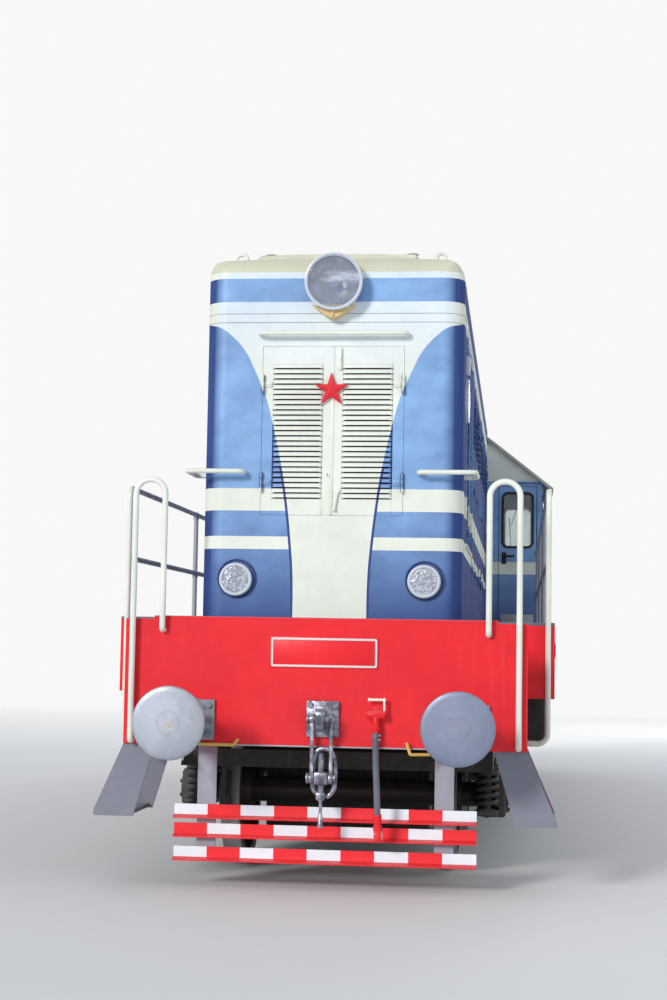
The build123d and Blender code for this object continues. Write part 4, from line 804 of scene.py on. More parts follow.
def liftHold(shape):
    # The front left hold sits higher than the others and reaches further out
    near = [vert for vert in shape.verts if vert.co.x < 0 and vert.co.y < 0 and vert.co.z < high(892)]
    bmesh.ops.translate(shape, verts=near, vec=(0, 0, 0.036))
    outer = [vert for vert in shape.verts if vert.co.x < -0.63 and vert.co.y < 0]
    bmesh.ops.translate(shape, verts=outer, vec=(-0.11, -0.045, 0))


dress("hand_holds", "yellow", 0.0, keep=liftHold)
dressTable = (
    ("red", 0.0035, ("buffer_beams", "step_wells", "side_sills")),
    ("deck", 0.003, ("deck_plate",)),
    ("steps", 0.002, ("step_plates",)),
    ("steps", 0.003, ("step_treads",)),
    ("bogie", 0.006, ("bogie_frame_front", "bogie_frame_rear")),
    ("bogie", 0.0, ("traction_motors_front", "traction_motors_rear")),
    ("under", 0.006, ("battery_boxes",)),
    ("under", 0.0, ("air_reservoirs",)),
    ("cabLivery", 0.003, ("cab_side_walls", "cab_end_walls")),
    ("roof", 0.005, ("cab_roof",)),
)
for finish, bevel, group in dressTable:
    for node in group:
        dress(node, finish, bevel)


def raiseLid(shape):
    # The lid stands a little prouder, with its front edge upright
    lid = [vert for vert in shape.verts if vert.co.z > high(4125)]
    bmesh.ops.translate(shape, verts=lid, vec=(0, 0, 0.014))
    front = [vert for vert in lid if vert.co.y < along(1100)]
    bmesh.ops.translate(shape, verts=front, vec=(0, -0.022, 0))


def hatchFinish():
    # Roof cream darkened as painted shade, with a painted shadow line along the hatch's foot
    bench = Bench("hatchPaint")
    crown = bench.times(bench.sum("POWER", bench.size(bench.x), 2.0), 0.043)
    rise = bench.minus(bench.plus(bench.z, crown), high(4117))
    # Painted shadow: dark just above the roof where the hatch wall rises, then the shaded cream
    colour = bench.blend(bench.spread(rise, 0.006, 0.011), (0.16, 0.15, 0.12), colours["shadedCreamTop"])
    return weather(bench, colour, runs=0.05, dents=0.0)


finishes["hatch"] = hatchFinish()
dress("roof_hatch", "hatch", 0.006, keep=raiseLid)
print("nodes dressed")

# Buffers
buffer = {
    "across": 875,
    "height": 1050,
    "base": (360, 257, 26),
    "bolts": ((-145, -92), (-145, 0), (-145, 92), (145, -92), (145, 0), (145, 92)),
}


def bufferFinish():
    bench = Bench("bufferSteel")
    across = bench.minus(bench.size(bench.x), buffer["across"] / 1000)
    rise = bench.minus(bench.z, high(buffer["height"]))
    radius = bench.reach(across, rise)
    wobble = bench.spread(bench.noise(18, 4, 0.6), 0.2, 0.8, -0.02, 0.02)
    ring = bench.spread(bench.plus(radius, wobble), 0.0, 0.235)
    face = bench.ramp(ring, (
        (0.0, (0.50, 0.53, 0.60)),
        (0.24, (0.47, 0.50, 0.58)),
        (0.29, (0.40, 0.43, 0.50)),
        (0.36, (0.47, 0.50, 0.57)),
        (0.62, (0.42, 0.45, 0.53)),
        (0.93, (0.38, 0.41, 0.48)),
        (1.0, (0.24, 0.25, 0.30)),
    ))
    # Grease and rust where the heads rub
    smear = bench.times(
        bench.spread(bench.noise(26, 4, 0.7, stretch=(1, 1, 1.6), shift=(1, 2, 3)), 0.55, 0.63),
        bench.spread(radius, 0.030, 0.060, 0.8, 0),
    )
    face = bench.blend(smear, face, (0.62, 0.36, 0.14))
    # Painted shade: the right buffer at the front and the left one at the back are darkened towards a shaded blue
    paintedShadeSide = bench.spread(bench.times(bench.x, bench.sum("SIGN", bench.y)), 0.2, -0.2, 0.0, 0.65)
    face = bench.blend(paintedShadeSide, face, (0.13, 0.17, 0.30))
    ahead = bench.over(bench.size(bench.y), 6.592)
    colour = bench.blend(ahead, (0.24, 0.26, 0.30), face)
    return weather(
        bench, colour, coat=0.0, roughness=(0.3, 0.52), rust=0.25, metal=0.35, dents=0.0, tone=0.16, runs=0.22, dust=0.2
    )


finishes["buffer"] = bufferFinish()


def makeBuffers():
    shape = bmesh.new()
    centre = spot(buffer["across"], beamFace, buffer["height"])
    wide, tall, thick = (value / 1000 for value in buffer["base"])
    block(shape, centre - Vector((0, thick / 2, 0)), (wide, thick, tall), 0.006)
    profile = (
        (0.0, 0.620), (0.040, 0.6200), (0.090, 0.6186), (0.140, 0.6160), (0.190, 0.6128), (0.212, 0.6106),
        (0.221, 0.6070), (0.225, 0.6010), (0.225, 0.5930), (0.221, 0.5880), (0.205, 0.5860),
        (0.110, 0.5700), (0.0885, 0.5480), (0.0870, 0.3200), (0.1000, 0.3190), (0.1175, 0.3120),
        (0.1215, 0.3040), (0.1215, 0.2600), (0.1175, 0.2560), (0.1150, 0.0900), (0.1230, 0.0520),
        (0.1450, 0.0300), (0.1500, 0.0260), (0.1500, 0.0), (0.0, 0.0),
    )
    turned(shape, profile, centre, forward, 64)
    face = centre - Vector((0, thick, 0))
    places = [face + Vector((a / 1000, 0, b / 1000)) for a, b in buffer["bolts"]]
    studs(shape, places, forward, 0.034, 0.022)
    bothSides(shape)
    bothEnds(shape)
    show("buffersTurned", shape, "buffer", replaces=("buffers",))


makeBuffers()

# Hook, screw coupling and its plate
coupling = {
    "plate": (208, 229, 28),
    "plateHeight": 1070,
    "pin": 1070,
    "trunnion": 701,
    "out": 60,  # the links hang this far in front of the beam
    "linkGap": 96,
    "linkThick": 26,
    "bow": (72, 892, 590),
    "bowLean": 14,
    "bar": 390,
}


def couplingFinish():
    bench = Bench("couplingIron")
    worn = bench.spread(bench.noise(17, 4, 0.6, shift=(1.2, 3.3, 0.4)), 0.38, 0.60)
    iron = bench.blend(worn, (0.15, 0.15, 0.20), (0.50, 0.52, 0.63))
    return weather(
        bench, iron, coat=0.0, roughness=(0.2, 0.45), metal=0.7, rust=0.2, tone=0.35, dust=0.2, dents=0.0, grain=0.0008,
        grainScale=160,
    )


finishes["coupling"] = couplingFinish()


def makeCoupling():
    shape = bmesh.new()
    front = beamFace
    wide, tall, thick = coupling["plate"]
    level, pin, nut = coupling["plateHeight"], coupling["pin"], coupling["trunnion"]
    block(shape, (0, front - thick / 2, level), (wide / 1000, thick / 1000, tall / 1000), 0.006)
    block(shape, (0, front - thick - 7, level), (0.120, 0.014, 0.160), 0.005)
    places = [spot(a, front - thick, level + b) for a in (-80, 80) for b in (-88, 88)]
    studs(shape, places, forward, 0.034, 0.022)
    # Hook: its outline seen from the side, thick in the middle
    hook = (
        (0, -42), (70, -62), (130, -74), (180, -70), (212, -48), (228, -16), (230, 30), (224, 56),
        (206, 74), (190, 70), (186, 50), (184, 20), (172, -2), (152, -8), (136, 2), (128, 26),
        (118, 50), (84, 58), (0, 58),
    )
    outline = [(a / 1000, b / 1000) for a, b in hook]
    fresh = plate(shape, outline, (-1, 0, 0), 0.048, origin=spot(24, front, pin))
    softenEdges(shape, edgesOf(fresh), 0.010, 3)
    out = front - coupling["out"]
    # Links swell into eyes at the pin and at the trunnion
    for side in (-1, 1):
        x = side * (coupling["linkGap"] / 2 + coupling["linkThick"] / 2)
        for height, radius in ((pin, 33), (nut, 36)):
            rod(shape, (x - 14, out, height), (x + 14, out, height), radius / 1000, 28, 0.004)
        middle = (pin + nut) / 2
        outline = (
            (-22, 180), (-15, 90), (-13, 0), (-15, -90), (-22, -180), (22, -180), (15, -90), (13, 0), (15, 90),
            (22, 180),
        )
        fresh = plate(
            shape, [(a / 1000, b / 1000) for a, b in outline], (-1, 0, 0), 0.022, origin=spot(x + 11, out, middle)
        )
        softenEdges(shape, edgesOf(fresh), 0.004)
    rod(shape, (-86, out, pin), (86, out, pin), 0.020, 24, 0.004)
    studs(shape, [spot(-86, out, pin)], (-1, 0, 0), 0.044, 0.012)
    # Trunnion nut with its two journals
    block(shape, (0, out, nut), (0.092, 0.078, 0.082), 0.014, 3)
    rod(shape, (-95, out, nut), (95, out, nut), 0.027, 28, 0.004)
    for side in (-1, 1):
        rod(shape, (side * 78, out, nut), (side * 95, out, nut), 0.034, 28, 0.004)
    # Screw with its thread, up through the nut
    rod(shape, (0, out, 560), (0, out, 860), 0.019, 20)
    for step in range(18):
        base = 575 + step * 15.5
        if abs(base - nut) > 44:
            rod(shape, (0, out, base), (0, out, base + 9), 0.0245, 18, tip=0.019)
    # Tommy bar, weighted at its lower end
    rod(shape, (0, out, 600), (0, out, 470), 0.011, 18)
    rod(shape, (0, out, 480), (0, out, coupling["bar"]), 0.0135, 18, tip=0.020, soften=0.003)
    block(shape, (0, out, 590), (0.060, 0.046, 0.050), 0.010, 3)
    bothEnds(shape)
    show("screwCouplings", shape, "coupling", replaces=("screw_couplings",))
    half, top, low = coupling["bow"]
    bows = []
    for turn in (1, -1):
        line = [
            (-18, 60, low - 8), (-half + 6, 60, low + 30), (-half, 64, low + 120), (-half + 3, 66, top - 90),
            (-half + 22, 66, top - 20), (0, 66, top), (half - 22, 66, top - 20), (half - 3, 66, top - 90),
            (half, 64, low + 120), (half - 6, 60, low + 30), (18, 60, low - 8),
        ]
        path = []
        for a, reach, height in line:
            across = turn * (a + coupling["bowLean"]) / 1000
            path.append(Vector((across, turn * along(front - reach + 34), high(height))))
        bows.append(path)
    tube("couplingBows", bows, 0.0165, "coupling", corner=0.05)


makeCoupling()
print("buffers and couplings made")

# Guard bars, painted in turns of red and white
guard = {
    "face": 780,
    "half": 975,
    "segments": 9,
    "tops": (501, 380, 231),
    "height": 72,
}


def guardFinish():
    bench = Bench("guardPaint")
    count = guard["segments"]
    share = bench.spread(bench.x, -guard["half"] / 1000, guard["half"] / 1000, 0, count)
    middle = bench.times(
        bench.over(bench.z, high(guard["tops"][1] - guard["height"] - 20)),
        bench.under(bench.z, high(guard["tops"][1] + 20)),
    )
    turn = bench.sum("FLOOR", bench.plus(share, middle))
    whites = bench.under(bench.sum("MODULO", turn, 2), 0.5)
    facing = bench.over(bench.size(bench.y), -along(guard["face"] + 3))
    upright = bench.under(bench.size(bench.y), -along(guard["face"] - 2))
    strip = bench.times(bench.times(whites, facing), upright)
    post = bench.under(bench.size(bench.y), -along(guard["face"] + 7.5))
    # Painted light: the white stripes are tinted blue, standing in for sky light on them
    colour = bench.blend(strip, colours["red"], (0.82, 0.90, 0.97))
    colour = bench.blend(post, colour, (0.30, 0.30, 0.37))
    return weather(
        bench, colour, coat=0.1, roughness=(0.3, 0.55), dents=0.0, tone=0.08, rust=0.08, runs=0.06, dust=0.12
    )


finishes["guard"] = guardFinish()
dress("rail_guards", "guard", 0.0015)

# Number plate, left blank, with a raised rim
plateSize = {"half": 346, "low": 1390, "top": 1587, "rim": 14}


def makePlate():
    shape = bmesh.new()
    wide = 2 * plateSize["half"] / 1000
    tall = (plateSize["top"] - plateSize["low"]) / 1000
    middle = (plateSize["top"] + plateSize["low"]) / 2
    block(shape, (0, beamFace - 3, middle), (wide, 0.008, tall), 0.002)
    show("numberPlate", shape, "red")
    rim = bmesh.new()
    ringFrame(
        rim, spot(0, beamFace - 6, middle), (1, 0, 0), upward, (wide - 0.012, tall - 0.012), 0.016,
        plateSize["rim"] / 1000, 0.006,
    )
    show("numberPlateRim", rim, "white", bevel=0.002)
    # Painted highlight: a pale grey strip along the beam's red foot stands in for the light caught by its folded edge
    foot = bmesh.new()
    block(foot, (0, beamFace + 1, 894), (1.50, 0.008, 0.010), 0.002)
    bothEnds(foot)
    show("beamFootPaintedHighlight", foot, "rails", slot="red_paint")


makePlate()

# The brake pipe's cock
cock = {"across": 341, "height": 1105, "out": 50}


def makeCocks():
    shape = bmesh.new()
    x, height = cock["across"], cock["height"]
    out = beamFace - cock["out"]
    block(shape, (x, beamFace - 6, height), (0.092, 0.012, 0.092), 0.004)
    studs(shape, [spot(x + a, beamFace - 12, height + b) for a in (-34, 34) for b in (-34, 34)], forward, 0.016, 0.009)
    rod(shape, (x, beamFace, height), (x, out - 4, height), 0.024, 28)
    rod(shape, (x - 50, out, height), (x + 50, out, height), 0.027, 32, 0.005)
    rod(shape, (x + 46, out, height), (x + 58, out, height), 0.034, 6, 0.003)
    rod(shape, (x - 62, out, height), (x - 46, out, height), 0.020, 6, 0.003)
    rod(shape, (x, out, height), (x, out, height - 112), 0.0235, 28, 0.003)
    rod(shape, (x, out, height - 75), (x, out, height - 95), 0.031, 6, 0.003)
    # Levers: one upright, one lying across its top
    levers = bmesh.new()
    block(levers, (x + 52, out, height + 52), (0.013, 0.026, 0.108), 0.004)
    rod(levers, (x + 62, out, height + 94), (x - 44, out, height + 94), 0.0085, 16, 0.003)
    rod(levers, (x - 40, out, height + 94), (x - 52, out, height + 94), 0.012, 16, 0.004)
    bothEnds(shape)
    bothEnds(levers)
    show("cockLevers", levers, "cream", slot="red_paint")
    show("brakeCocks", shape, "red", replaces=("brake_cocks",))
    clip = bmesh.new()
    start = Vector(hose["route"][0])
    for drop in (0.012, 0.040):
        turned(
            clip, ((0.0205, 0.0), (0.0235, 0.001), (0.0235, 0.011), (0.0205, 0.012)), start - lift(drop), (0, 0, -1), 36
        )
        block(clip, start + Vector((0.026, 0, -drop - 0.006)), (0.012, 0.016, 0.010), 0.002)
    show("hoseClips", clip, "coupling")


makeCocks()
print("front fittings made")

# Grille doors: pressed blades between slits with pointed ends, hinges, latches and the star
grille = {
    "half": 465,
    "low": 2390,
    "top": 3500,
    "gap": 5,  # half the gap between the leaves
    "face": 870,
    "thick": 36,
    "inner": 64,
    "outer": 398,
    "first": 2509,
    "pitch": 34.4,
    "count": 26,
    "hinges": (2600, 3250),
    "proud": 18,
    "fit": 4.2,  # the sheet laps over this much more than the pressed frame
    "point": 22,
    "tipRise": 0.5,
    "press": ((0.50, 0), (0.22, -1.2), (0.0, -4.5), (-0.13, -7.1), (-0.21, -7.7), (-0.25, -6.7)),
}


def makeGrilleLeaf(side):
    word = "right" if side > 0 else "left"
    body = "grille_door_" + word
    shape = bmesh.new()
    face, pitch, point = grille["face"], grille["pitch"], grille["point"]
    edge, inner = side * grille["half"], side * grille["gap"]
    low, top = grille["low"], grille["top"]
    bankLow = grille["first"] - pitch * 0.5
    bankTop = bankLow + pitch * grille["count"]
    a, b = side * grille["inner"], side * grille["outer"]

    def panel(x0, x1, z0, z1, front=0, back=22):
        centre = spot((x0 + x1) / 2, face + (front + back) / 2, (z0 + z1) / 2)
        block(shape, centre, (abs(x1 - x0) / 1000, (back - front) / 1000, (z1 - z0) / 1000))

    fit = grille["fit"]
    rim, seam = edge + side * fit, inner - side * 3
    panel(rim, b, low - fit, top + fit)
    panel(a, seam, low - fit, top + fit)
    panel(a, b, low - fit, bankLow)
    panel(a, b, bankTop, top + fit)
    # Return flanges round the back of the leaf
    panel(edge, edge - side * 12, low, top, 20, grille["thick"])
    panel(inner, inner + side * 12, low, top, 20, grille["thick"])
    panel(edge, inner, low, low + 12, 20, grille["thick"])
    panel(edge, inner, top - 12, top, 20, grille["thick"])
    if side > 0:
        block(shape, spot(-1, face - 1.5, (low + top) / 2), (0.022, 0.003, (top - low) / 1000), 0.001)
    show("grilleLeaf_" + word, shape, "livery", body=body, replaces=(body,), bevel=0.0016)

    # Blades: a pressed edge drawn along the slit, then drawn in to a point at each end
    blades = bmesh.new()
    left, right = sorted((a, b))
    for step in range(grille["count"]):
        height = grille["first"] + pitch * step
        line = [
            blades.verts.new(spot(left + point, face + out, height + pitch * rise)) for rise, out in grille["press"]
        ]
        rows = [blades.edges.new(pair) for pair in zip(line, line[1:])]
        width = right - left - 2 * point
        grown = bmesh.ops.extrude_edge_only(blades, edges=rows)
        fresh = vertsOf(grown)
        bmesh.ops.translate(blades, verts=fresh, vec=(width / 1000, 0, 0))
        made = [item for item in grown["geom"] if isinstance(item, bmesh.types.BMEdge)]
        far = [edge for edge in made if all(vert in fresh for vert in edge.verts)]
        for edges, way in ((rows, -1), (far, 1)):
            tip = vertsOf(bmesh.ops.extrude_edge_only(blades, edges=edges))
            bmesh.ops.translate(blades, verts=tip, vec=(way * point / 1000, 0, 0))
            root = Matrix.Translation(-spot(0, face, height + pitch * grille["tipRise"]))
            bmesh.ops.scale(blades, verts=tip, vec=(1, 0, 1.0), space=root)
            sagging = [vert for vert in tip if vert.co.z < high(height - pitch * 0.1)]
            bmesh.ops.scale(
                blades, verts=sagging, vec=(1, 1, 0), space=Matrix.Translation(-spot(0, face, height - pitch * 0.5))
            )
    showBlades = show("grilleBlades_" + word, blades, "livery", body=body, smooth=50)
    skin = showBlades.modifiers.new("sheet", "SOLIDIFY")
    skin.thickness = 0.0018
    skin.offset = 0

    fittings = bmesh.new()
    hinge = face - grille["proud"]
    for height in grille["hinges"]:
        for index in range(3):
            base = height - 60 + index * 41
            rod(fittings, (edge, hinge, base), (edge, hinge, base + 38), 0.0105, 20, 0.0015)
        rod(fittings, (edge, hinge, height - 68), (edge, hinge, height + 70), 0.006, 14)
        block(fittings, (edge - side * 30, face - 4, height), (0.060, 0.008, 0.038), 0.002)
        block(fittings, (edge - side * 6, face - 11, height), (0.014, 0.016, 0.038), 0.002)
        studs(fittings, [spot(edge - side * (22 + 24 * i), face - 8, height) for i in range(2)], forward, 0.012, 0.006)
    show("grilleHinges_" + word, fittings, "livery", body=body)


def makeGrilleFittings():
    face = grille["face"]
    shape = bmesh.new()
    # Long latch bar at the top, with its two brackets and its pin
    block(shape, (45, face - 15, 3422), (0.020, 0.016, 0.150), 0.004)
    block(shape, (45, face - 5, 3468), (0.034, 0.012, 0.030), 0.003)
    block(shape, (45, face - 5, 3376), (0.034, 0.012, 0.030), 0.003)
    rod(shape, (45, face - 6, 3422), (45, face - 30, 3422), 0.009, 18, 0.002)
    # Leaning lever at the foot, ending in a ball
    rod(shape, (42, face - 14, 2545), (20, face - 20, 2425), 0.0085, 18)
    rod(shape, (42, face, 2545), (42, face - 24, 2545), 0.016, 24, 0.003)
    rod(shape, (21, face - 20, 2432), (18, face - 20, 2412), 0.0125, 20, 0.005)
    block(shape, (42, face - 2, 2545), (0.046, 0.006, 0.064), 0.002)
    show("grilleLatches", shape, "cream", body="grille_door_right")
    lock = bmesh.new()
    rod(lock, (-28, face - 0.2, 2652), (-28, face - 5, 2652), 0.015, 28, 0.001)
    show("grilleLock", lock, "cream", body="grille_door_left")
    keyhole = bmesh.new()
    block(keyhole, (-28, face - 5.4, 2652), (0.0045, 0.001, 0.017))
    show("grilleKeyhole", keyhole, "rubber", body="grille_door_left", slot="cream_paint")


star = {"across": -8, "height": 3212, "radius": 119, "out": 16, "edge": 10, "apex": 26}


def makeStar():
    shape = bmesh.new()
    ratio = math.cos(math.radians(72)) / math.cos(math.radians(36))
    outline = []
    for i in range(10):
        reach = star["radius"] * (1 if i % 2 == 0 else ratio) / 1000
        angle = math.radians(90 + 36 * i)
        outline.append((reach * math.cos(angle), reach * math.sin(angle)))
    base = spot(star["across"], grille["face"] - star["out"], star["height"])
    fresh = plate(shape, outline, forward, star["edge"] / 1000, origin=base)
    top = [face for face in shape.faces if all(vert in set(fresh) for vert in face.verts)]
    peak = bmesh.ops.poke(shape, faces=top)["verts"][0]
    peak.co.y -= (star["apex"] - star["edge"]) / 1000
    show("starRelief", shape, "starRed", body="grille_door_right", smooth=10, bevel=0.0012)
    stand = bmesh.new()
    for across, rise in ((30, 10), (26, -36)):
        rod(
            stand, (across, grille["face"] + 4, star["height"] + rise),
            (across, grille["face"] - star["out"] - 2, star["height"] + rise), 0.010, 16,
        )
    show("starStuds", stand, "starRed", body="grille_door_right")


for side in (-1, 1):
    makeGrilleLeaf(side)
makeGrilleFittings()
makeStar()
print("grille doors made")

# Lamps: marker lamps low down and the headlight over the grille
lampTable = (
    # across, height, body radius, lens radius, reach from the nose
    ("headlight", 4, 3919, 192.5, 170, 125),
    ("marker", -618, 1957, 128, 90, 50),
    ("marker", 618, 1957, 128, 90, 50),
)


def lensFinish(name, low, top, middle, reach, clear, cell, relief, streaky):
    # Glass with a film of dust, its tint changing from foot to top
    bench = Bench(name)
    tint = bench.blend(bench.spread(bench.z, high(middle - reach), high(middle + reach)), low, top)
    film = bench.spread(bench.noise(9, 5, 0.65, stretch=(1, 1, 2.2)), 0.35, 0.75, 0.0, 0.25)
    # A pale streak lies across the middle of the headlights, left of centre
    offMiddle = bench.size(bench.minus(bench.z, high(middle + 26)))
    streak = bench.times(
        bench.spread(offMiddle, 0.012, 0.065, 1.0, 0.0),
        bench.spread(bench.noise(14, 5, 0.7, stretch=(0.5, 1, 1.6)), 0.30, 0.64),
    )
    streak = bench.times(streak, bench.spread(bench.x, -0.12, -0.02))
    film = bench.most(film, bench.times(streak, 0.9 if streaky else 0.0))
    if not streaky:
        dots = bench.add("TexVoronoi", {"Vector": bench.place, "Scale": cell}).outputs["Distance"]
        tint = bench.blend(bench.spread(dots, 0.35, 0.62), tint, (0.34, 0.36, 0.45))
    bench.set("Base Color", bench.blend(film, tint, (0.66, 0.74, 0.84)))
    bench.set("Roughness", bench.spread(bench.noise(25, 4, 0.6), 0.3, 0.7, 0.03, 0.10))
    bench.set("Alpha", bench.spread(film, 0.1, 0.8, 1 - clear, 0.95))
    bench.set("IOR", 1.45)
    cells = bench.add("TexVoronoi", {"Vector": bench.place, "Scale": cell}, feature="SMOOTH_F1").outputs["Distance"]
    bench.bump(((bench.noise(16, 2, 0.5), 0.0010, 1.0), (cells, relief, 1.0)))
    return bench.material


def mirrorFinish():
    bench = Bench("lampReflector")
    tone = bench.blend(bench.noise(6, 4, 0.6), (0.46, 0.49, 0.56), (0.70, 0.73, 0.79))
    bench.set("Base Color", tone)
    bench.set("Roughness", bench.spread(bench.noise(12, 4, 0.6), 0.3, 0.7, 0.16, 0.34))
    bench.set("Metallic", 0.85)
    bench.bump(((bench.noise(40, 2, 0.5), 0.0008, 1.0),))
    return bench.material


finishes["mirror"] = mirrorFinish()
finishes["headLens"] = lensFinish(
    "headlightGlass", (0.36, 0.42, 0.54), (0.34, 0.33, 0.39), 3919, 150, 0.76, 30, 0.0003, True
)
finishes["markerLens"] = lensFinish(
    "markerGlass", (0.74, 0.79, 0.88), (0.66, 0.68, 0.74), 1957, 100, 0.25, 62, 0.004, False
)


def makeLamps():
    # Profiles are pairs of radius and reach, from the lamp's own radius, its lens and its depth
    bodies, rims, mirrors, cups = newShapes(4)
    headLens, markerLens, bulbs, bracket = newShapes(4)
    for kind, across, height, radius, lens, reach in lampTable:
        centre = spot(across, grille["face"], height)
        r, g, d = radius / 1000, lens / 1000, reach / 1000
        if kind == "headlight":
            profile = (
                (0.0, -0.112), (r * 0.93, -0.112), (r * 0.93, 0.010), (r * 0.955, 0.040), (r * 0.955, d - 0.050),
                (r * 0.935, d - 0.046), (r * 0.935, d - 0.030), (0.0, d - 0.090),
            )
            turned(bodies, profile[:-1], centre, forward, 72)
            ring = (
                (r * 0.94, d - 0.048), (r * 0.985, d - 0.046), (r, d - 0.038), (r, d - 0.010), (r * 0.985, d - 0.001),
                (r * 0.95, d + 0.0), (g + 0.006, d - 0.004), (g, d - 0.012), (g, d - 0.030), (r * 0.94, d - 0.048),
            )
            turned(rims, ring, centre, forward, 96)
            bowl = (
                (g + 0.004, d - 0.034), (g * 0.96, d - 0.060), (g * 0.80, d - 0.092), (g * 0.50, d - 0.118),
                (g * 0.20, d - 0.128), (0.0, d - 0.130),
            )
            turned(mirrors, bowl, centre, forward, 72)
            glass = (
                (0.0, d - 0.012), (g * 0.5, d - 0.013), (g * 0.85, d - 0.016), (g + 0.001, d - 0.020),
                (g + 0.001, d - 0.026), (0.0, d - 0.018),
            )
            turned(headLens, glass, centre, forward, 72)
            bulb = (
                (0.0, d - 0.040), (0.020, d - 0.046), (0.028, d - 0.062), (0.022, d - 0.080), (0.014, d - 0.092),
                (0.014, d - 0.128),
            )
            turned(bulbs, bulb, centre, forward, 32)
            # Clamps on the rim, and the wedge under the lamp
            for turn in (60, 125, 235, 300):
                way = Vector((math.cos(math.radians(turn)), 0, math.sin(math.radians(turn))))
                block(
                    rims, centre + way * (r - 0.004) + Vector((0, -(d - 0.024), 0)), (0.020, 0.034, 0.016),
                    turn=Matrix.Rotation(-math.radians(turn), 3, "Y"), soften=0.003,
                )
            # Painted shade: the wedge under the lamp takes a tan that stands in for the shade beneath the lamp
            wedge = ((-0.140, 0.0), (-0.060, -0.062), (-0.016, -0.086), (0.016, -0.086), (0.060, -0.062), (0.140, 0.0))
            plate(bracket, wedge, forward, 0.085, origin=spot(0, grille["face"] + 1, height - 149))
            rod(
                bracket, (0, grille["face"] - 88, height - radius + 6), (0, grille["face"] - 88, height - radius - 34),
                0.009, 16, 0.002,
            )
        else:
            profile = (
                (0.0, -0.010), (r, -0.010), (r, 0.014), (r * 0.975, 0.019), (r * 0.95, 0.014), (r * 0.93, 0.004),
                (g + 0.006, 0.004), (g + 0.004, 0.030),
            )
            turned(cups, profile, centre + Vector((0.004, 0, 0.007)), forward, 72)
            ring = (
                (g + 0.014, 0.002), (g + 0.019, 0.020), (g + 0.019, d - 0.012), (g + 0.014, d - 0.003), (g + 0.006, d),
                (g - 0.002, d - 0.004), (g - 0.004, d - 0.020), (g + 0.010, 0.020), (g + 0.014, 0.002),
            )
            turned(rims, ring, centre, forward, 72)
            bowl = ((g - 0.003, d - 0.018), (g * 0.7, d - 0.034), (g * 0.3, d - 0.044), (0.0, d - 0.046))
            turned(mirrors, bowl, centre, forward, 48)
            glass = (
                (0.0, d - 0.001), (g * 0.5, d - 0.0025), (g * 0.85, d - 0.0055), (g - 0.003, d - 0.008),
                (g - 0.003, d - 0.013), (0.0, d - 0.007),
            )
            turned(markerLens, glass, centre, forward, 56)
            studs(
                cups, around(centre + Vector((0, -0.013, 0)), r * 0.955, (0.8, 2.35, 3.95, 5.5), 1), forward, 0.010,
                0.005, washer=False,
            )
    for name, shape, finish, settings in (
        ("lampBodies", bodies, "livery", {"replaces": ("lamps",)}),
        ("markerCups", cups, "darkBlue", {}),
        ("lampRims", rims, "rim", {}),
        ("lampMirrors", mirrors, "mirror", {}),
        ("headlightGlass", headLens, "headLens", {"replaces": ("lamp_lenses",)}),
        ("markerGlass", markerLens, "markerLens", {}),
        ("headlightBulbs", bulbs, "rim", {}),
        ("headlightBrackets", bracket, "bracket", {"bevel": 0.006, "segments": 3}),
    ):
        bothEnds(shape)
        show(name, shape, finish, **settings)


makeLamps()
print("lamps made")

# Bonnets: seams, vents, shutter frames, discs, roof hatch, fan, exhaust and lifting hooks
bonnet = {
    "face": 870,
    "half": 860,
    "corner": 0.145,
    "noseEnd": 1200,
    "cab": 9000,
    "end": 12390,
    "deck": 1712,
    "roofSplit": 3930,
    "noseSeams": (3725, 3666),
    "seam": 0.0017,
    "panels": ((3060, 3930), (3960, 4830), (5980, 6930), (6960, 7910), (7940, 8900)),
    "panelLow": 1900,
    "panelTop": 3700,
    "hinges": (2150, 3450),
    "hingeHalf": 45,
    "louvreStep": 46,
    "disc": (858, 1325, 3205),
    "lid": 4166,
    "fan": (0, 2300, 4142),
    "exhaust": 5200,
    "caps": (-459, 502),
    "capPlace": (1080, 4150),
    "hatchRibs": (1320, 2960),
    "hatchClamps": (1250, 1800, 2400, 2980),
    "louvreSize": (0.028, 0.011),
    "endLouvres": {"count": 20, "low": 2540, "step": 43, "across": 232},
    "rearDoors": ((11260, 11760), (11790, 12240)),
    "rearSeam": 12060,
    "frontSeam": 1190,
}


def noseLine(inner, outer, height):
    # A line round an end of the bonnet
    half = bonnet["half"]
    return [spot(a, b, height) for a, b in ((-half, inner), (-half, outer), (half, outer), (half, inner))]


def makeSeams():
    half = bonnet["half"]
    paths = [noseLine(bonnet["frontSeam"], bonnet["face"], height) for height in bonnet["noseSeams"]]
    tube("noseSeams", paths, bonnet["seam"], "seam", corner=bonnet["corner"], sides=2)
    sides = []
    for side in (-1, 1):
        x = side * half
        sides.append([spot(x, bonnet["noseEnd"], bonnet["deck"]), spot(x, bonnet["noseEnd"], 3965)])
        sides.append([spot(x, bonnet["noseEnd"], bonnet["roofSplit"]), spot(x, bonnet["cab"], bonnet["roofSplit"])])
        for start, end in bonnet["panels"]:
            sides.append(loopOf(x, start, end, bonnet["panelLow"], bonnet["panelTop"]))
    tube("bonnetSeams", sides, 0.0024, "seam", corner=0.02, sides=2)


def pressLouvre(shape, centre, side, length, height, out):
    # One pressed louvre: a block whose top outer edge is drawn back into the sheet
    verts = block(shape, centre + Vector((side * out / 2, 0, 0)), (out, length, height))
    for vert in verts:
        if (vert.co.x - centre.x) * side > out * 0.5:
            if vert.co.z > centre.z:
                vert.co.x = centre.x
            vert.co.y += 0.012 * (1 if vert.co.y < centre.y else -1)


def louvreBank(shape, side, middle, low, count, length):
    # Louvres one over the other, a fixed step apart
    for row in range(count):
        place = spot(side * bonnet["half"], middle, low + row * bonnet["louvreStep"])
        pressLouvre(shape, place, side, length, *bonnet["louvreSize"])


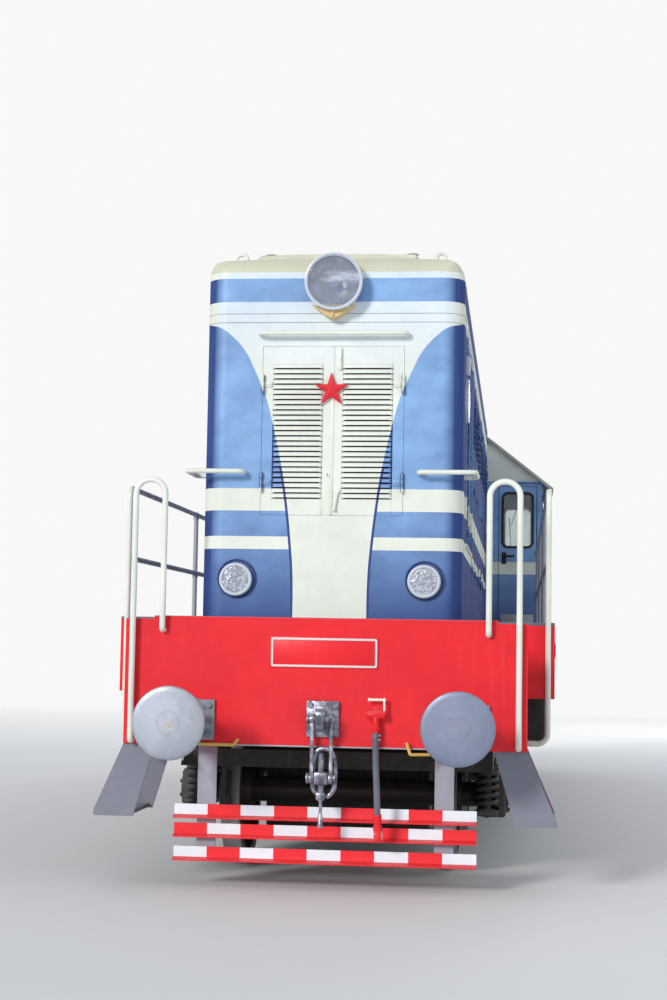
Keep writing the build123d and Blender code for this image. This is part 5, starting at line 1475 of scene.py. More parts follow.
def uprightHinge(shape, side, place, height, soften=0.0):
    x, half = side * (bonnet["half"] + 7), bonnet["hingeHalf"]
    rod(shape, (x, place, height - half), (x, place, height + half), 0.008, 12, soften)


def makePanels():
    # Rows of louvres, grips and hinges on the fixed side panels
    for side, word in ((-1, "left"), (1, "right")):
        shape, metal = newShapes(2)
        x = side * bonnet["half"]
        for start, end in bonnet["panels"]:
            middle, width = (start + end) / 2, end - start
            for column in (-1, 1):
                louvreBank(shape, side, middle + column * width * 0.22, 3170, 9, width * 0.36 / 1000)
            for height in bonnet["hinges"]:
                for place in (start + 6, end - 6):
                    uprightHinge(metal, side, place, height, 0.001)
                    block(metal, (x + side * 3, place, height), (0.006, 0.052, 0.030), 0.001)
            rod(metal, (x, middle, 2790), (x + side * 9, middle, 2790), 0.028, 24, 0.002)
            block(metal, (x + side * 15, middle, 2762), (0.012, 0.016, 0.088), 0.004)
        show("sideLouvres_" + word, shape, "livery", bevel=0.002)
        show("panelFittings_" + word, metal, "livery")


shutter = {
    "start": 1480, "end": 2900, "low": 2250, "top": 3700, "bar": 0.034, "proud": 5, "boltsAlong": 11, "boltsUp": 7
}


def makeShutterFrames():
    shape = bmesh.new()
    start, end, low, top = (shutter[key] for key in ("start", "end", "low", "top"))
    middle, centre, width = (start + end) / 2, (low + top) / 2, shutter["bar"]
    x = bonnet["half"] + shutter["proud"]
    for side in (-1, 1):
        for height in (low - 8, top + 8):
            block(shape, spot(side * x, middle, height), (0.012, (end - start + 64) / 1000, width), 0.002)
        for place in (start - 14, end + 14):
            block(shape, spot(side * x, place, centre), (0.0115, width, (top - low - 16) / 1000), 0.002)
        block(shape, spot(side * (x - 3), middle, centre), (0.012, 0.022, (top - low) / 1000), 0.002)
        out = side * (x + 6)
        places = [
            spot(out, start + 40 + i * 134, height)
            for i in range(shutter["boltsAlong"])
            for height in (low - 8, top + 8)
        ]
        places += [
            spot(out, place, low + 110 + i * 205) for i in range(shutter["boltsUp"]) for place in (start - 14, end + 14)
        ]
        studs(shape, places, (side, 0, 0), 0.012, 0.006, washer=False)
    show("shutterFrames", shape, "livery")


def makeDiscs():
    faces, rims = newShapes(2)
    for side in (-1, 1):
        across, distance, height = bonnet["disc"]
        centre = spot(side * across, distance, height)
        turned(
            faces, ((0.0, 0.030), (0.060, 0.0295), (0.110, 0.0265), (0.134, 0.022), (0.136, 0.006)), centre,
            (side, 0, 0), 64,
        )
        turned(
            rims, ((0.134, 0.004), (0.134, 0.024), (0.138, 0.028), (0.146, 0.027), (0.150, 0.020), (0.150, 0.0)),
            centre, (side, 0, 0), 64,
        )
        # Brackets above the discs, as on the photographed side
        block(rims, (side * 872, 1260, 3440), (0.030, 0.030, 0.130), 0.005)
        rod(rims, (side * 880, 1260, 3390), (side * 880, 1260, 3490), 0.014, 18, 0.003)
    show("sideDiscs", faces, "disc")
    show("sideDiscRims", rims, "rim")


def makeRoofWork():
    lid = bonnet["lid"]
    caps = bmesh.new()
    for across in bonnet["caps"]:
        foot = spot(across, *bonnet["capPlace"])
        rod(caps, foot, foot + lift(0.014), 0.018, 20)
        turned(
            caps, ((0.0, 0.0245), (0.026, 0.0235), (0.040, 0.0195), (0.043, 0.0150), (0.041, 0.0130), (0.0, 0.0130)),
            foot, upward, 36,
        )
    show("hatchCaps", caps, "cream")
    # Fan: a low collar, a wire guard of rings and spokes, and dark blades under it
    collar, wires, blades = newShapes(3)
    centre = spot(*bonnet["fan"])
    turned(
        collar, ((0.50, 0.0), (0.50, 0.036), (0.508, 0.042), (0.524, 0.042), (0.532, 0.034), (0.536, -0.006)), centre,
        upward, 96,
    )
    studs(collar, around(centre + lift(0.012), 0.548, [i * math.tau / 16 for i in range(16)], 2), upward, 0.018, 0.012)
    for ring in range(1, 12):
        radius = 0.044 * ring
        made = bmesh.ops.create_circle(
            wires, cap_ends=False, segments=6, radius=0.0028,
            matrix=Matrix.Translation(centre + Vector((radius, 0, 0.038))) @ Matrix.Rotation(math.pi / 2, 4, "X"),
        )
        loop = edgesOf(made["verts"])
        bmesh.ops.spin(
            wires, geom=made["verts"] + loop, cent=centre, axis=upward, angle=math.tau, steps=64, use_merge=True
        )
    for i in range(8):
        way = Vector((math.cos(i * math.tau / 8), math.sin(i * math.tau / 8), 0))
        rod(wires, centre + way * 0.03 + lift(0.032), centre + way * 0.505 + lift(0.032), 0.0045, 8)
    rod(wires, centre + lift(0.024), centre + lift(0.042), 0.050, 32, 0.003)
    rod(blades, centre + lift(0.020), centre + lift(0.024), 0.502, 64)
    for i in range(8):
        turn = Matrix.Rotation(i * math.tau / 8, 3, "Z")
        block(
            blades, centre + turn @ Vector((0.27, 0, 0.0270)), (0.42, 0.150, 0.004),
            turn=turn @ Matrix.Rotation(0.10, 3, "X"),
        )
    show("fanCollar", collar, "livery", slot="cream_paint")
    show("fanGuard", wires, "rails")
    show("fanBlades", blades, "rubber", slot="undergear_black")
    # Ribs and edge clamps of the hatch
    shape = bmesh.new()
    for distance in bonnet["hatchRibs"]:
        rod(shape, (-400, distance, lid - 9), (400, distance, lid - 9), 0.011, 16, 0.003)
    for side in (-1, 1):
        for distance in bonnet["hatchClamps"]:
            block(shape, (side * 566, distance, 4112), (0.070, 0.036, 0.012), 0.003)
            studs(shape, [spot(side * 578, distance, 4117)], upward, 0.020, 0.012)
    show("hatchFittings", shape, "cream")
    # Exhaust: a bolted skirt round the rim and the throat inside it
    stack, throat = newShapes(2)
    middle = bonnet["exhaust"]
    for side in (-1, 1):
        block(stack, (side * 236, middle, 4114), (0.050, 0.900, 0.010), 0.002)
        block(stack, (0, middle + side * 446, 4118), (0.430, 0.050, 0.010), 0.002)
        studs(
            stack, [spot(side * 240, middle - 390 + i * 130, 4118) for i in range(7)], upward, 0.016, 0.010,
            washer=False,
        )
    block(throat, (0, middle, 4122), (0.345, 0.765, 0.006))
    for i in range(3):
        block(throat, (0, middle - 210 + i * 210, 4150), (0.345, 0.010, 0.050))
    show("exhaustSkirt", stack, "livery", slot="cream_paint")
    show("exhaustThroat", throat, "under")


hooks = {
    "across": 654,
    "distance": 1255,
    # step outwards, height and radius of the wire
    "path": (
        (0, 4070, 21), (-3, 4138, 20), (-6, 4180, 18), (14, 4213, 15), (44, 4214, 12), (64, 4194, 9), (72, 4176, 5)
    ),
}


def makeHooks():
    # Hooks that taper from a stout foot to an outward tip
    made = bmesh.new()
    across, distance = hooks["across"], hooks["distance"]
    for side in (-1, 1):
        line = newLine("hookLine", 0.001, 6)
        spline = line.splines.new("NURBS")
        spline.points.add(len(hooks["path"]) - 1)
        for point, (step, height, radius) in zip(spline.points, hooks["path"]):
            point.co = (*spot(side * (across + step), distance, height), 1)
            point.radius = radius
        spline.order_u = 4
        spline.use_endpoint_u = True
        holder = link("hookLine", line)
        mesh = finalMesh(holder)
        bpy.data.objects.remove(holder)
        made.from_mesh(mesh)
        bpy.data.meshes.remove(mesh)
        rod(made, (side * across, distance, 4068), (side * across, distance, 4092), 0.040, 28, 0.006)
    show("liftingHooks", made, "cream", replaces=("lifting_hooks",))


def makeRearBonnet():
    # Doors, grips and vents of the short bonnet behind the cab, and a door on its end
    paths = []
    for side in (-1, 1):
        x = side * bonnet["half"]
        for start, end in bonnet["rearDoors"]:
            paths.append(loopOf(x, start, end, bonnet["panelLow"], bonnet["panelTop"]))
    end, half, low, top = bonnet["end"], grille["half"], grille["low"], grille["top"]
    paths.append([spot(a, end, b) for a, b in ((-half, low), (half, low), (half, top), (-half, top), (-half, low))])
    paths.append([spot(0, end, low), spot(0, end, top)])
    tube("rearSeams", paths, 0.0024, "seam", corner=0.02, sides=2)
    rings = [noseLine(bonnet["rearSeam"], end, height) for height in bonnet["noseSeams"]]
    tube("rearRoundSeams", rings, bonnet["seam"], "seam", corner=bonnet["corner"], sides=2)
    shape = bmesh.new()
    for side in (-1, 1):
        x = side * bonnet["half"]
        for start, finish in bonnet["rearDoors"]:
            louvreBank(shape, side, (start + finish) / 2, 3200, 8, 0.30)
            for height in bonnet["hinges"]:
                uprightHinge(shape, side, start + 6, height)
            block(shape, (x + side * 12, finish - 60, 2762), (0.024, 0.016, 0.100), 0.004)
        for height in grille["hinges"]:
            rod(shape, (side * half, end + 14, height - 60), (side * half, end + 14, height + 60), 0.0105, 18, 0.002)
            block(shape, (side * 438, end + 4, height), (0.056, 0.008, 0.038), 0.002)
    # A bank of pressed louvres on each leaf of the end door
    bank = bonnet["endLouvres"]
    for side in (-1, 1):
        for row in range(bank["count"]):
            height = bank["low"] + row * bank["step"]
            verts = block(shape, (side * bank["across"], end + 5, height), (0.320, 0.011, 0.026))
            for vert in verts:
                if vert.co.y > along(end + 5) and vert.co.z > high(height):
                    vert.co.y = along(end)
    block(shape, (30, end + 12, 2900), (0.018, 0.024, 0.130), 0.004)
    show("rearBonnetFittings", shape, "livery")


makeSeams()
makePanels()
makeShutterFrames()
makeDiscs()
makeRoofWork()
makeHooks()
makeRearBonnet()
print("bonnets finished")

# Cab: window gaskets and panes, wipers, door levers, gutters, and the inside that shows through the glass
cab = {
    "front": 9000,
    "back": 11200,
    "middle": 10100,
    "half": 1480,
    "window": (1208, 2967.5),
    "windowSize": (0.332, 0.603),
    "sideWindow": 0.780,
    "sideStep": 470,
    "round": 0.060,
    "lip": 0.015,
    "gasket": 0.027,
    "lever": (1059, 2562),
    "wiper": 3318,
    "kickPlate": 1830,
    "sideGutter": 3352,
    "desk": 9040,
    "vent": {"height": 1990, "slats": 7, "low": 1900, "step": 32},
    "roofWelds": (9560, 10640),
    "gutter": 3386,
    "deck": 1710,
}


def paneFinish():
    bench = Bench("windowPane")
    smear = bench.noise(5, 5, 0.6, stretch=(1, 1, 0.4))
    tone = bench.blend(bench.spread(smear, 0.35, 0.7), (0.82, 0.88, 0.88), (0.66, 0.72, 0.72))
    bench.set("Base Color", tone)
    bench.set("Roughness", bench.spread(smear, 0.35, 0.75, 0.015, 0.10))
    bench.set("Transmission Weight", 0.92)
    bench.set("IOR", 1.45)
    bench.bump(((bench.noise(0.9, 2, 0.5), 0.0015, 1.0),))
    return bench.material


def clothFinish():
    # Woven seat cover: crossed threads over a patchy tone
    bench = Bench("seatCloth")
    threads = []
    for axis in (bench.x, bench.y, bench.z):
        threads.append(bench.sum("SINE", bench.times(axis, 1900)))
    weave = bench.plus(bench.times(threads[0], threads[1]), bench.times(threads[0], threads[2]))
    tone = bench.blend(bench.spread(bench.noise(7, 4, 0.6), 0.3, 0.7), (0.045, 0.05, 0.06), (0.085, 0.09, 0.105))
    tone = bench.blend(bench.spread(weave, -1.2, 1.6, 0, 0.4), tone, (0.15, 0.155, 0.17))
    bench.set("Base Color", tone)
    bench.set("Roughness", 0.85)
    bench.set("Sheen Weight", 0.3)
    bench.bump(((weave, 0.0003, 1.0), (bench.noise(30, 3, 0.6), 0.0008, 1.0)))
    return bench.material


finishes["pane"] = paneFinish()
finishes["seatCloth"] = clothFinish()
paint("pane", "cab_glass")


def windowRing(shape, x, y, z, size, across, proud=0.010):
    lip = cab["lip"]
    normal = Vector(across).cross(lift(1))
    centre = Vector((x, y, z)) - normal * 0.030
    frame = (size[0] + 2 * lip, size[1] + 2 * lip)
    ringFrame(shape, centre, across, upward, frame, cab["round"] + lip, cab["gasket"], 0.030 + proud)


def frontWindow(shape, side):
    x, z = cab["window"]
    windowRing(shape, side * x / 1000, along(cab["front"]), high(z), cab["windowSize"], (1, 0, 0))


def makeCabDoor(end):
    body = "cab_door_" + end
    gasket, pane, lever = newShapes(3)
    frontWindow(gasket, 1)
    x, z = cab["window"]
    block(pane, (x, cab["front"] + 17, z), (0.325, 0.006, 0.596))
    # Lever handle under the window, with its plate and lock
    spindle, rise = cab["lever"]
    face = cab["front"]
    block(lever, (spindle, face - 3, rise - 22), (0.052, 0.006, 0.130), 0.002)
    rod(lever, (spindle, face, rise), (spindle, face - 44, rise), 0.0135, 24, 0.002)
    block(lever, (spindle + 52, face - 42, rise - 1), (0.128, 0.015, 0.024), 0.006, 3)
    rod(lever, (spindle, face, rise - 58), (spindle, face - 9, rise - 58), 0.012, 20, 0.002)
    studs(lever, [spot(spindle, face - 6, rise + step) for step in (34, -80)], forward, 0.009, 0.004, washer=False)
    # Kick plate with its screws
    plateLow = bmesh.new()
    block(plateLow, (x, face - 2, cab["kickPlate"]), (0.36, 0.004, 0.17), 0.0015)
    studs(
        plateLow, [spot(x + a, face - 4, cab["kickPlate"] + b) for a in (-168, 0, 168) for b in (-72, 72)], forward,
        0.009, 0.004, washer=False,
    )
    if end == "rear":
        for shape in (gasket, pane, lever, plateLow):
            turnRound(shape, shape.verts, along(cab["middle"]))
    show("doorGasket_" + end, gasket, "rubber", body=body, bevel=0.003)
    show("doorPane_" + end, pane, "pane", body=body)
    show("doorLever_" + end, lever, "rubber", body=body, slot="body_blue")
    show("doorKickPlate_" + end, plateLow, "rails", body=body)


def stripLever(shape):
    # The copy of the door loses its square lever, whose place the modelled one takes
    front, back = along(cab["front"]) - 0.0005, along(cab["back"]) + 0.0005
    loose = [vert for vert in shape.verts if vert.co.y < front or vert.co.y > back]
    bmesh.ops.delete(shape, geom=loose, context="VERTS")
    rim = [edge for edge in shape.edges if edge.is_boundary]
    bmesh.ops.holes_fill(shape, edges=rim, sides=12)


def makeCabFront():
    gasket, wiper, beads = newShapes(3)
    frontWindow(gasket, -1)
    face, x = cab["front"], cab["window"][0]
    pivot, gutter = cab["wiper"], cab["gutter"]
    # Wiper over the fixed window, and the boss over the door's window
    rod(wiper, (-x, face, pivot), (-x, face - 34, pivot), 0.011, 20, 0.002)
    rod(wiper, (-x, face - 28, pivot), (-1118, face - 24, 3050), 0.0045, 12)
    block(wiper, (-1112, face - 18, 2980), (0.010, 0.014, 0.36), turn=Matrix.Rotation(0.06, 3, "Y"), soften=0.003)
    rod(wiper, (x, face, 3372), (x, face - 24, 3372), 0.013, 20, 0.003)
    # Gutters over door and window
    for side in (-1, 1):
        block(beads, (side * (x - 2), face - 9, gutter), (0.50, 0.018, 0.012), 0.004)
        block(beads, (side * (x - 2), face - 16, gutter + 6), (0.50, 0.004, 0.020), 0.001)
    for shape in (gasket, wiper, beads):
        bothEnds(shape, along(cab["middle"]))
    show("endGaskets", gasket, "rubber", bevel=0.003)
    show("wipers", wiper, "rubber", slot="body_blue")
    show("endGutters", beads, "cabLivery")


def makeCabSides():
    gasket, trim = newShapes(2)
    for side in (-1, 1):
        x = side * cab["half"] / 1000
        for step in (-1, 1):
            place = cab["middle"] + step * cab["sideStep"]
            windowRing(
                gasket, x, along(place), high(cab["window"][1]), (cab["sideWindow"], cab["windowSize"][1]), (0, side, 0)
            )
            # Sliding panes meet at an upright bar
            block(gasket, (side * 1476, place + step * 40, 2967), (0.020, 0.026, 0.590), 0.004)
        block(trim, (side * 1489, cab["middle"], cab["sideGutter"]), (0.018, 1.90, 0.012), 0.004)
        block(trim, (side * 1496, cab["middle"], cab["sideGutter"] + 6), (0.004, 1.90, 0.020), 0.001)
        block(trim, (side * 1484, cab["middle"], 2610), (0.012, 1.80, 0.026), 0.004)
        # A ventilator with its slats under the windows
        vent, place = cab["vent"], cab["middle"]
        block(trim, (side * 1484, place, vent["height"]), (0.010, 0.420, 0.260), 0.003)
        for row in range(vent["slats"]):
            height = vent["low"] + row * vent["step"]
            verts = block(trim, (side * 1493, place, height), (0.010, 0.360, 0.018))
            for vert in verts:
                if abs(vert.co.x) > 1.494 and vert.co.z > high(height):
                    vert.co.x = side * 1.488
    show("sideGaskets", gasket, "rubber", bevel=0.003)
    show("cabSideTrim", trim, "cabLivery")


def makeRoofTrim():
    # Welds across the cab roof and a covered vent
    shape = bmesh.new()
    for distance in cab["roofWelds"]:
        rise = ((-955, 3831), (-640, 4010), (-320, 4122), (0, 4161), (320, 4122), (640, 4010), (955, 3831))
        for (a, b), (c, d) in zip(rise, rise[1:]):
            rod(shape, (a, distance, b - 2), (c, distance, d - 2), 0.006, 8)
    turned(
        shape, ((0.0, 0.026), (0.15, 0.022), (0.20, 0.010), (0.21, -0.030), (0.0, -0.030)),
        spot(0, cab["middle"], 4150), upward, 48,
    )
    show("roofTrim", shape, "roof")


def makeDesk():
    shape, black, dials = newShapes(3)
    face = cab["desk"]
    profile = (
        (0.0, 0.0), (0.36, 0.0), (0.40, 0.10), (0.46, 0.74), (0.48, 0.80), (0.46, 0.84), (0.16, 0.94), (0.12, 1.0),
        (0.0, 1.0),
    )
    outline = [(-a, b) for a, b in profile]
    plate(shape, outline, (1, 0, 0), 1.79, origin=spot(-895, face, cab["deck"]))
    show("deskBody", shape, "desk", replaces=("control_desk",), bevel=0.010, segments=3)
    tilt = math.atan2(0.10, 0.30)
    slope = Matrix.Rotation(-tilt, 3, "X")
    for across in (-720, -560, -400, 300, 480, 660):
        centre = spot(across, face + 300, cab["deck"] + 897)
        up = slope @ lift(1)
        turned(black, ((0.052, 0.0), (0.060, 0.004), (0.060, 0.016), (0.052, 0.019), (0.050, 0.012)), centre, up, 40)
        turned(dials, ((0.0, 0.010), (0.051, 0.010), (0.051, 0.004)), centre, up, 40)
        block(black, centre + up * 0.0115, (0.003, 0.060, 0.002), turn=slope @ Matrix.Rotation(0.6, 3, "Z"))
    for across, lean in ((-160, 0.3), (80, -0.25)):
        foot = spot(across, face + 300, cab["deck"] + 890)
        rod(black, foot, foot + Vector((0, lean * 0.2, 0.17)), 0.009, 16)
        rod(black, foot + Vector((0, lean * 0.19, 0.16)), foot + Vector((0, lean * 0.24, 0.205)), 0.018, 20, 0.006)
    show("deskInstruments", black, "rubber", slot="desk_grey")
    show("deskDials", dials, "white", slot="desk_grey")


seat = {
    "across": 950,
    "distance": 10250,
    "size": 0.40,
    "base": 480,
    "pad": 0.078,
    "back": 0.46,
    "backThick": 0.062,
    "voxel": 0.006,
    "pressure": 4,
    "frames": 20,
    "cap": 0.010,
}


def puff(name, centre, size):
    # Swells a soft block with air and holds back how far its skin moves
    shape = bmesh.new()
    block(shape, centre, size, 0.020, 3)
    mesh = bpy.data.meshes.new(name)
    shape.to_mesh(mesh)
    shape.free()
    holder = link(name, mesh)
    grid = holder.modifiers.new("grid", "REMESH")
    grid.mode = "VOXEL"
    grid.voxel_size = seat["voxel"]
    start = finalMesh(holder)
    holder.modifiers.clear()
    holder.data = start
    air = holder.modifiers.new("air", "CLOTH")
    air.settings.use_pressure = True
    air.settings.uniform_pressure_force = seat["pressure"]
    air.settings.effector_weights.gravity = 0
    for frameNumber in range(1, seat["frames"] + 1):
        bpy.context.scene.frame_set(frameNumber)
    full = finalMesh(holder)
    for vert, target in zip(start.vertices, full.vertices):
        move = target.co - vert.co
        if move.length > seat["cap"]:
            move = move.normalized() * seat["cap"]
        vert.co = vert.co + move
    bpy.data.meshes.remove(full)
    bpy.context.scene.frame_set(1)
    bpy.data.objects.remove(holder)
    return start


def makeSeats():
    frameWork = bmesh.new()
    place, deck = seat["distance"], cab["deck"]
    rise = deck + seat["base"]
    cushion = puff("seatCushion", spot(-seat["across"], place, rise + 48), (seat["size"], seat["size"], seat["pad"]))
    backPlace = spot(-seat["across"], place + 172, rise + 285)
    rest = puff("seatBack", backPlace, (seat["size"], seat["backThick"], seat["back"]))
    for side, word in ((-1, "left"), (1, "right")):
        for kind, source in (("seatCushion", cushion), ("seatBack", rest)):
            mesh = source.copy()
            if side > 0:
                mesh.transform(Matrix.Translation((2 * seat["across"] / 1000, 0, 0)))
            piece = showMesh(kind + "_" + word, mesh, "seatCloth", "locomotive", ())
            smooth = piece.modifiers.new("smooth", "SUBSURF")
            smooth.levels = smooth.render_levels = 1
        x = side * seat["across"]
        rod(frameWork, (x, place, deck), (x, place, deck + 14), 0.17, 40, 0.004)
        rod(frameWork, (x, place, deck + 10), (x, place, rise - 60), 0.055, 32)
        rod(frameWork, (x, place, rise - 180), (x, place, rise - 10), 0.060, 32, 0.004)
        block(frameWork, (x, place, rise - 2), (0.34, 0.34, 0.016), 0.004)
        for step in (-1, 1):
            block(frameWork, (x + step * 120, place + 196, rise + 90), (0.030, 0.008, 0.20), 0.002)
    show("seatFrames", frameWork, "desk", slot="seat_covering", replaces=("driver_seats",))


for end in ("front", "rear"):
    makeCabDoor(end)
    dress("cab_door_" + end, "cabLivery", 0.003, keep=stripLever)
makeCabFront()
makeCabSides()
makeRoofTrim()
makeDesk()
makeSeats()
print("cab finished")

# Undergear: wheels, axle boxes, coil springs and brakes
gear = {
    "axles": (2.15, 4.55),
    "height": 500,
    "box": (0.190, 0.300, 0.290),
    "across": 1055,
    "springAcross": 1020,
    "springStep": 0.250,
    "springLow": 410,
    "springTop": 700,
    "coil": 0.0705,
    "wire": 0.0145,
    "turns": 5,
    "seat": (0.150, 0.690, 0.030),
    "beam": 1065,
}


def wheelFinish():
    # Rings about each axle: greasy hub, dull web, and a tread rubbed bright
    bench = Bench("wheelSteel")
    middle, half = sum(gear["axles"]) / 2, (gear["axles"][1] - gear["axles"][0]) / 2
    ahead = bench.size(bench.minus(bench.size(bench.y), middle))
    ahead = bench.minus(ahead, half)
    rise = bench.minus(bench.z, high(gear["height"]))
    radius = bench.reach(ahead, rise)
    colour = bench.ramp(bench.spread(radius, 0.0, 0.54), (
        (0.0, (0.030, 0.027, 0.025)), (0.30, (0.045, 0.036, 0.030)), (0.78, (0.055, 0.046, 0.040)),
        (0.84, (0.085, 0.080, 0.078)), (0.905, (0.10, 0.096, 0.094)), (0.925, (0.42, 0.42, 0.43)),
        (1.0, (0.36, 0.36, 0.37)),
    ))
    return weather(
        bench, colour, coat=0.0, roughness=(0.3, 0.55), metal=0.35, rust=0.3, tone=0.2, dust=0.2, dents=0.0, runs=0.0
    )


def coil(shape, foot, rise, radius, wire, turns):
    # A ring of wire spun about the upright axis while it climbs
    steps = turns * 18
    placed = Matrix.Translation(foot + Vector((radius, 0, 0))) @ Matrix.Rotation(math.radians(90), 4, "X")
    made = bmesh.ops.create_circle(shape, segments=9, radius=wire, matrix=placed)
    edges = edgesOf(made["verts"])
    bmesh.ops.spin(
        shape, geom=made["verts"] + edges, cent=foot, axis=upward, angle=math.tau * turns, dvec=(0, 0, rise / steps),
        steps=steps,
    )


def makeSuspension(end, word):
    boxes, springs = newShapes(2)
    for axle in gear["axles"]:
        for side in (-1, 1):
            out = Vector((side, 0, 0))
            centre = Vector((side * gear["across"] / 1000, end * axle, high(gear["height"])))
            block(boxes, centre, gear["box"], 0.022, 3)
            half = gear["box"][0] / 2
            rod(boxes, centre + out * (half - 0.004), centre + out * (half + 0.014), 0.122, 40, 0.005)
            rod(boxes, centre + out * (half + 0.010), centre + out * (half + 0.026), 0.064, 32, 0.004)
            ring = around(centre + out * (half + 0.014), 0.100, (0.5, 1.57, 2.64, 3.64, 4.71, 5.78), 0)
            studs(boxes, ring, out, 0.024, 0.014)
            rod(boxes, centre + out * 0.02 + lift(0.142), centre + out * 0.02 + lift(0.160), 0.016, 16, 0.003)
            seat = Vector((side * gear["springAcross"] / 1000, end * axle, high(gear["springLow"] - 15)))
            block(boxes, seat, gear["seat"], 0.006)
            block(boxes, seat + lift(0.05), (0.12, 0.34, 0.09), 0.02)
            for step in (-1, 1):
                foot = Vector((seat.x, seat.y + step * gear["springStep"], high(gear["springLow"])))
                climb = (gear["springTop"] - gear["springLow"]) / 1000
                turned(boxes, ((0.0, 0.012), (0.050, 0.012), (0.086, 0.004), (0.086, 0.0)), foot, upward, 32)
                turned(
                    boxes, ((0.0, -0.012), (0.050, -0.012), (0.086, -0.004), (0.086, 0.0)), foot + lift(climb), upward,
                    32,
                )
                rod(boxes, foot + lift(0.008), foot + lift(climb - 0.02), 0.030, 20)
                coil(
                    springs, foot + lift(gear["wire"] + 0.003), climb - 2 * gear["wire"] - 0.006, gear["coil"],
                    gear["wire"], gear["turns"],
                )
                studs(boxes, [foot + lift(-0.030)], (0, 0, -1), 0.034, 0.018)
    body = "bogie_" + word
    show("axleBoxes_" + word, boxes, "bogie", body=body, replaces=("suspension_" + word,))
    show("springs_" + word, springs, "bogie", body=body)
    bolts = bmesh.new()
    for axle in gear["axles"]:
        for side in (-1, 1):
            face = side * (gear["beam"] - 1) / 1000
            places = [
                Vector((face, end * axle + step, high(rise)))
                for step in (-0.34, -0.16, 0.16, 0.34)
                for rise in (735, 865)
            ]
            studs(bolts, places, (side, 0, 0), 0.028, 0.016)
            for step in (-1, 1):
                block(
                    bolts, Vector((face + side * 0.004, end * axle + step * gear["springStep"], high(712))),
                    (0.012, 0.19, 0.024), 0.003,
                )
    show("bogieBolts_" + word, bolts, "bogie", body=body)


finishes["wheel"] = wheelFinish()
for index in range(1, 5):
    dress(f"wheelset_{index}", "wheel", 0.0025)
for end, word in ((-1, "front"), (1, "rear")):
    makeSuspension(end, word)
    dress("brake_gear_" + word, "under", 0.003)
print("undergear made")


sideGear = {"door": 372, "hinge": 220, "latch": 200, "strap": 550, "band": 1060}


def makeSideGear():
    # Battery-box doors with hinges and latches, tank straps and reservoir bands
    doors, metal, straps = newShapes(3)
    middle = overBuffers / 2
    for step in (-1, 1):
        place = middle + step * sideGear["door"]
        block(doors, (1472.5, place, 945), (0.009, 0.700, 0.440), 0.003)
        block(doors, (1476.5, place, 945), (0.006, 0.560, 0.300), 0.003)
        for row in range(5):
            slat = Matrix.Rotation(0.5, 3, "Y")
            block(doors, (1480, place, 870 + row * 36), (0.010, 0.340, 0.012), 0.003, turn=slat)
        for way in (-1, 1):
            hinge, latch = place + way * sideGear["hinge"], place + way * sideGear["latch"]
            rod(metal, (1481, hinge - 50, 1172), (1481, hinge + 50, 1172), 0.010, 16, 0.002)
            block(metal, (1478, hinge, 1150), (0.006, 0.070, 0.040), 0.002)
            block(metal, (1480, latch, 752), (0.012, 0.045, 0.060), 0.004)
            rod(metal, (1476, latch, 762), (1490, latch, 762), 0.009, 16, 0.002)
        place = middle + step * sideGear["strap"]
        block(straps, (1153, place, 560), (0.008, 0.070, 0.300), 0.002)
        block(straps, (600, place, 416), (1.080, 0.070, 0.008), 0.002)
        studs(straps, [spot(1157, place, height) for height in (440, 500)], (1, 0, 0), 0.024, 0.014)
        place = middle + step * sideGear["band"]
        for across in (120, 600):
            band = ((0.149, 0.0), (0.156, 0.001), (0.156, 0.049), (0.149, 0.050))
            turned(straps, band, spot(across, place, 850), (1, 0, 0), 40)
        rod(straps, (400, place, 702), (400, place, 672), 0.012, 14)
    for shape in (doors, metal, straps):
        bothSides(shape)
    show("batteryDoors", doors, "under")
    show("batteryLatches", metal, "coupling", slot="undergear_black")
    show("tankStraps", straps, "under")


railing = {"across": 1425, "posts": (3659, 6049, 8439), "bars": (2110, 2590)}


def makeRailFittings():
    # A bolted foot under each post and a clamp where it meets each bar
    shape = bmesh.new()
    for distance in railing["posts"]:
        foot = spot(railing["across"], distance, cab["deck"])
        block(shape, foot + lift(0.005), (0.080, 0.080, 0.010), 0.002)
        studs(
            shape, [foot + Vector((a, b, 0.010)) for a in (-0.028, 0.028) for b in (-0.028, 0.028)], upward, 0.014,
            0.008,
        )
        rod(shape, foot, foot + lift(0.030), 0.026, 20, 0.003)
        for height in railing["bars"]:
            joint = spot(railing["across"], distance, height)
            rod(shape, joint - Vector((0, 0.032, 0)), joint + Vector((0, 0.032, 0)), 0.0235, 20, 0.003)
            rod(shape, joint - lift(0.040), joint, 0.0235, 20, 0.003)
            studs(
                shape, [joint + Vector((0.0225, step, -0.004)) for step in (-0.022, 0.022)], (1, 0, 0), 0.010, 0.005,
                washer=False,
            )
    bothSides(shape)
    show("railFittings", shape, "rails")


def makeSillFittings():
    # A dark round cap on the right-hand sill, and the small white hook by the left guard post
    cap = bmesh.new()
    turned(
        cap, ((0.0, 0.0), (0.074, 0.0), (0.074, 0.010), (0.060, 0.014), (0.058, 0.024), (0.040, 0.028), (0.0, 0.029)),
        spot(1469, 2300, 1525), (1, 0, 0), 40,
    )
    studs(
        cap, around(spot(1479, 2300, 1525), 0.067, (0.6, 1.9, 3.2, 4.5, 5.7), 0), (1, 0, 0), 0.010, 0.005, washer=False
    )
    show("sillCap", cap, "under")
    hook = [spot(-905, 668, 892), spot(-905, 664, 812), spot(-905, 640, 786), spot(-905, 618, 806)]
    tube("guardHook", [hook], 0.0075, "white", slot="cream_paint", corner=0.03)


makeSideGear()
makeRailFittings()
makeSillFittings()
print("trim made")

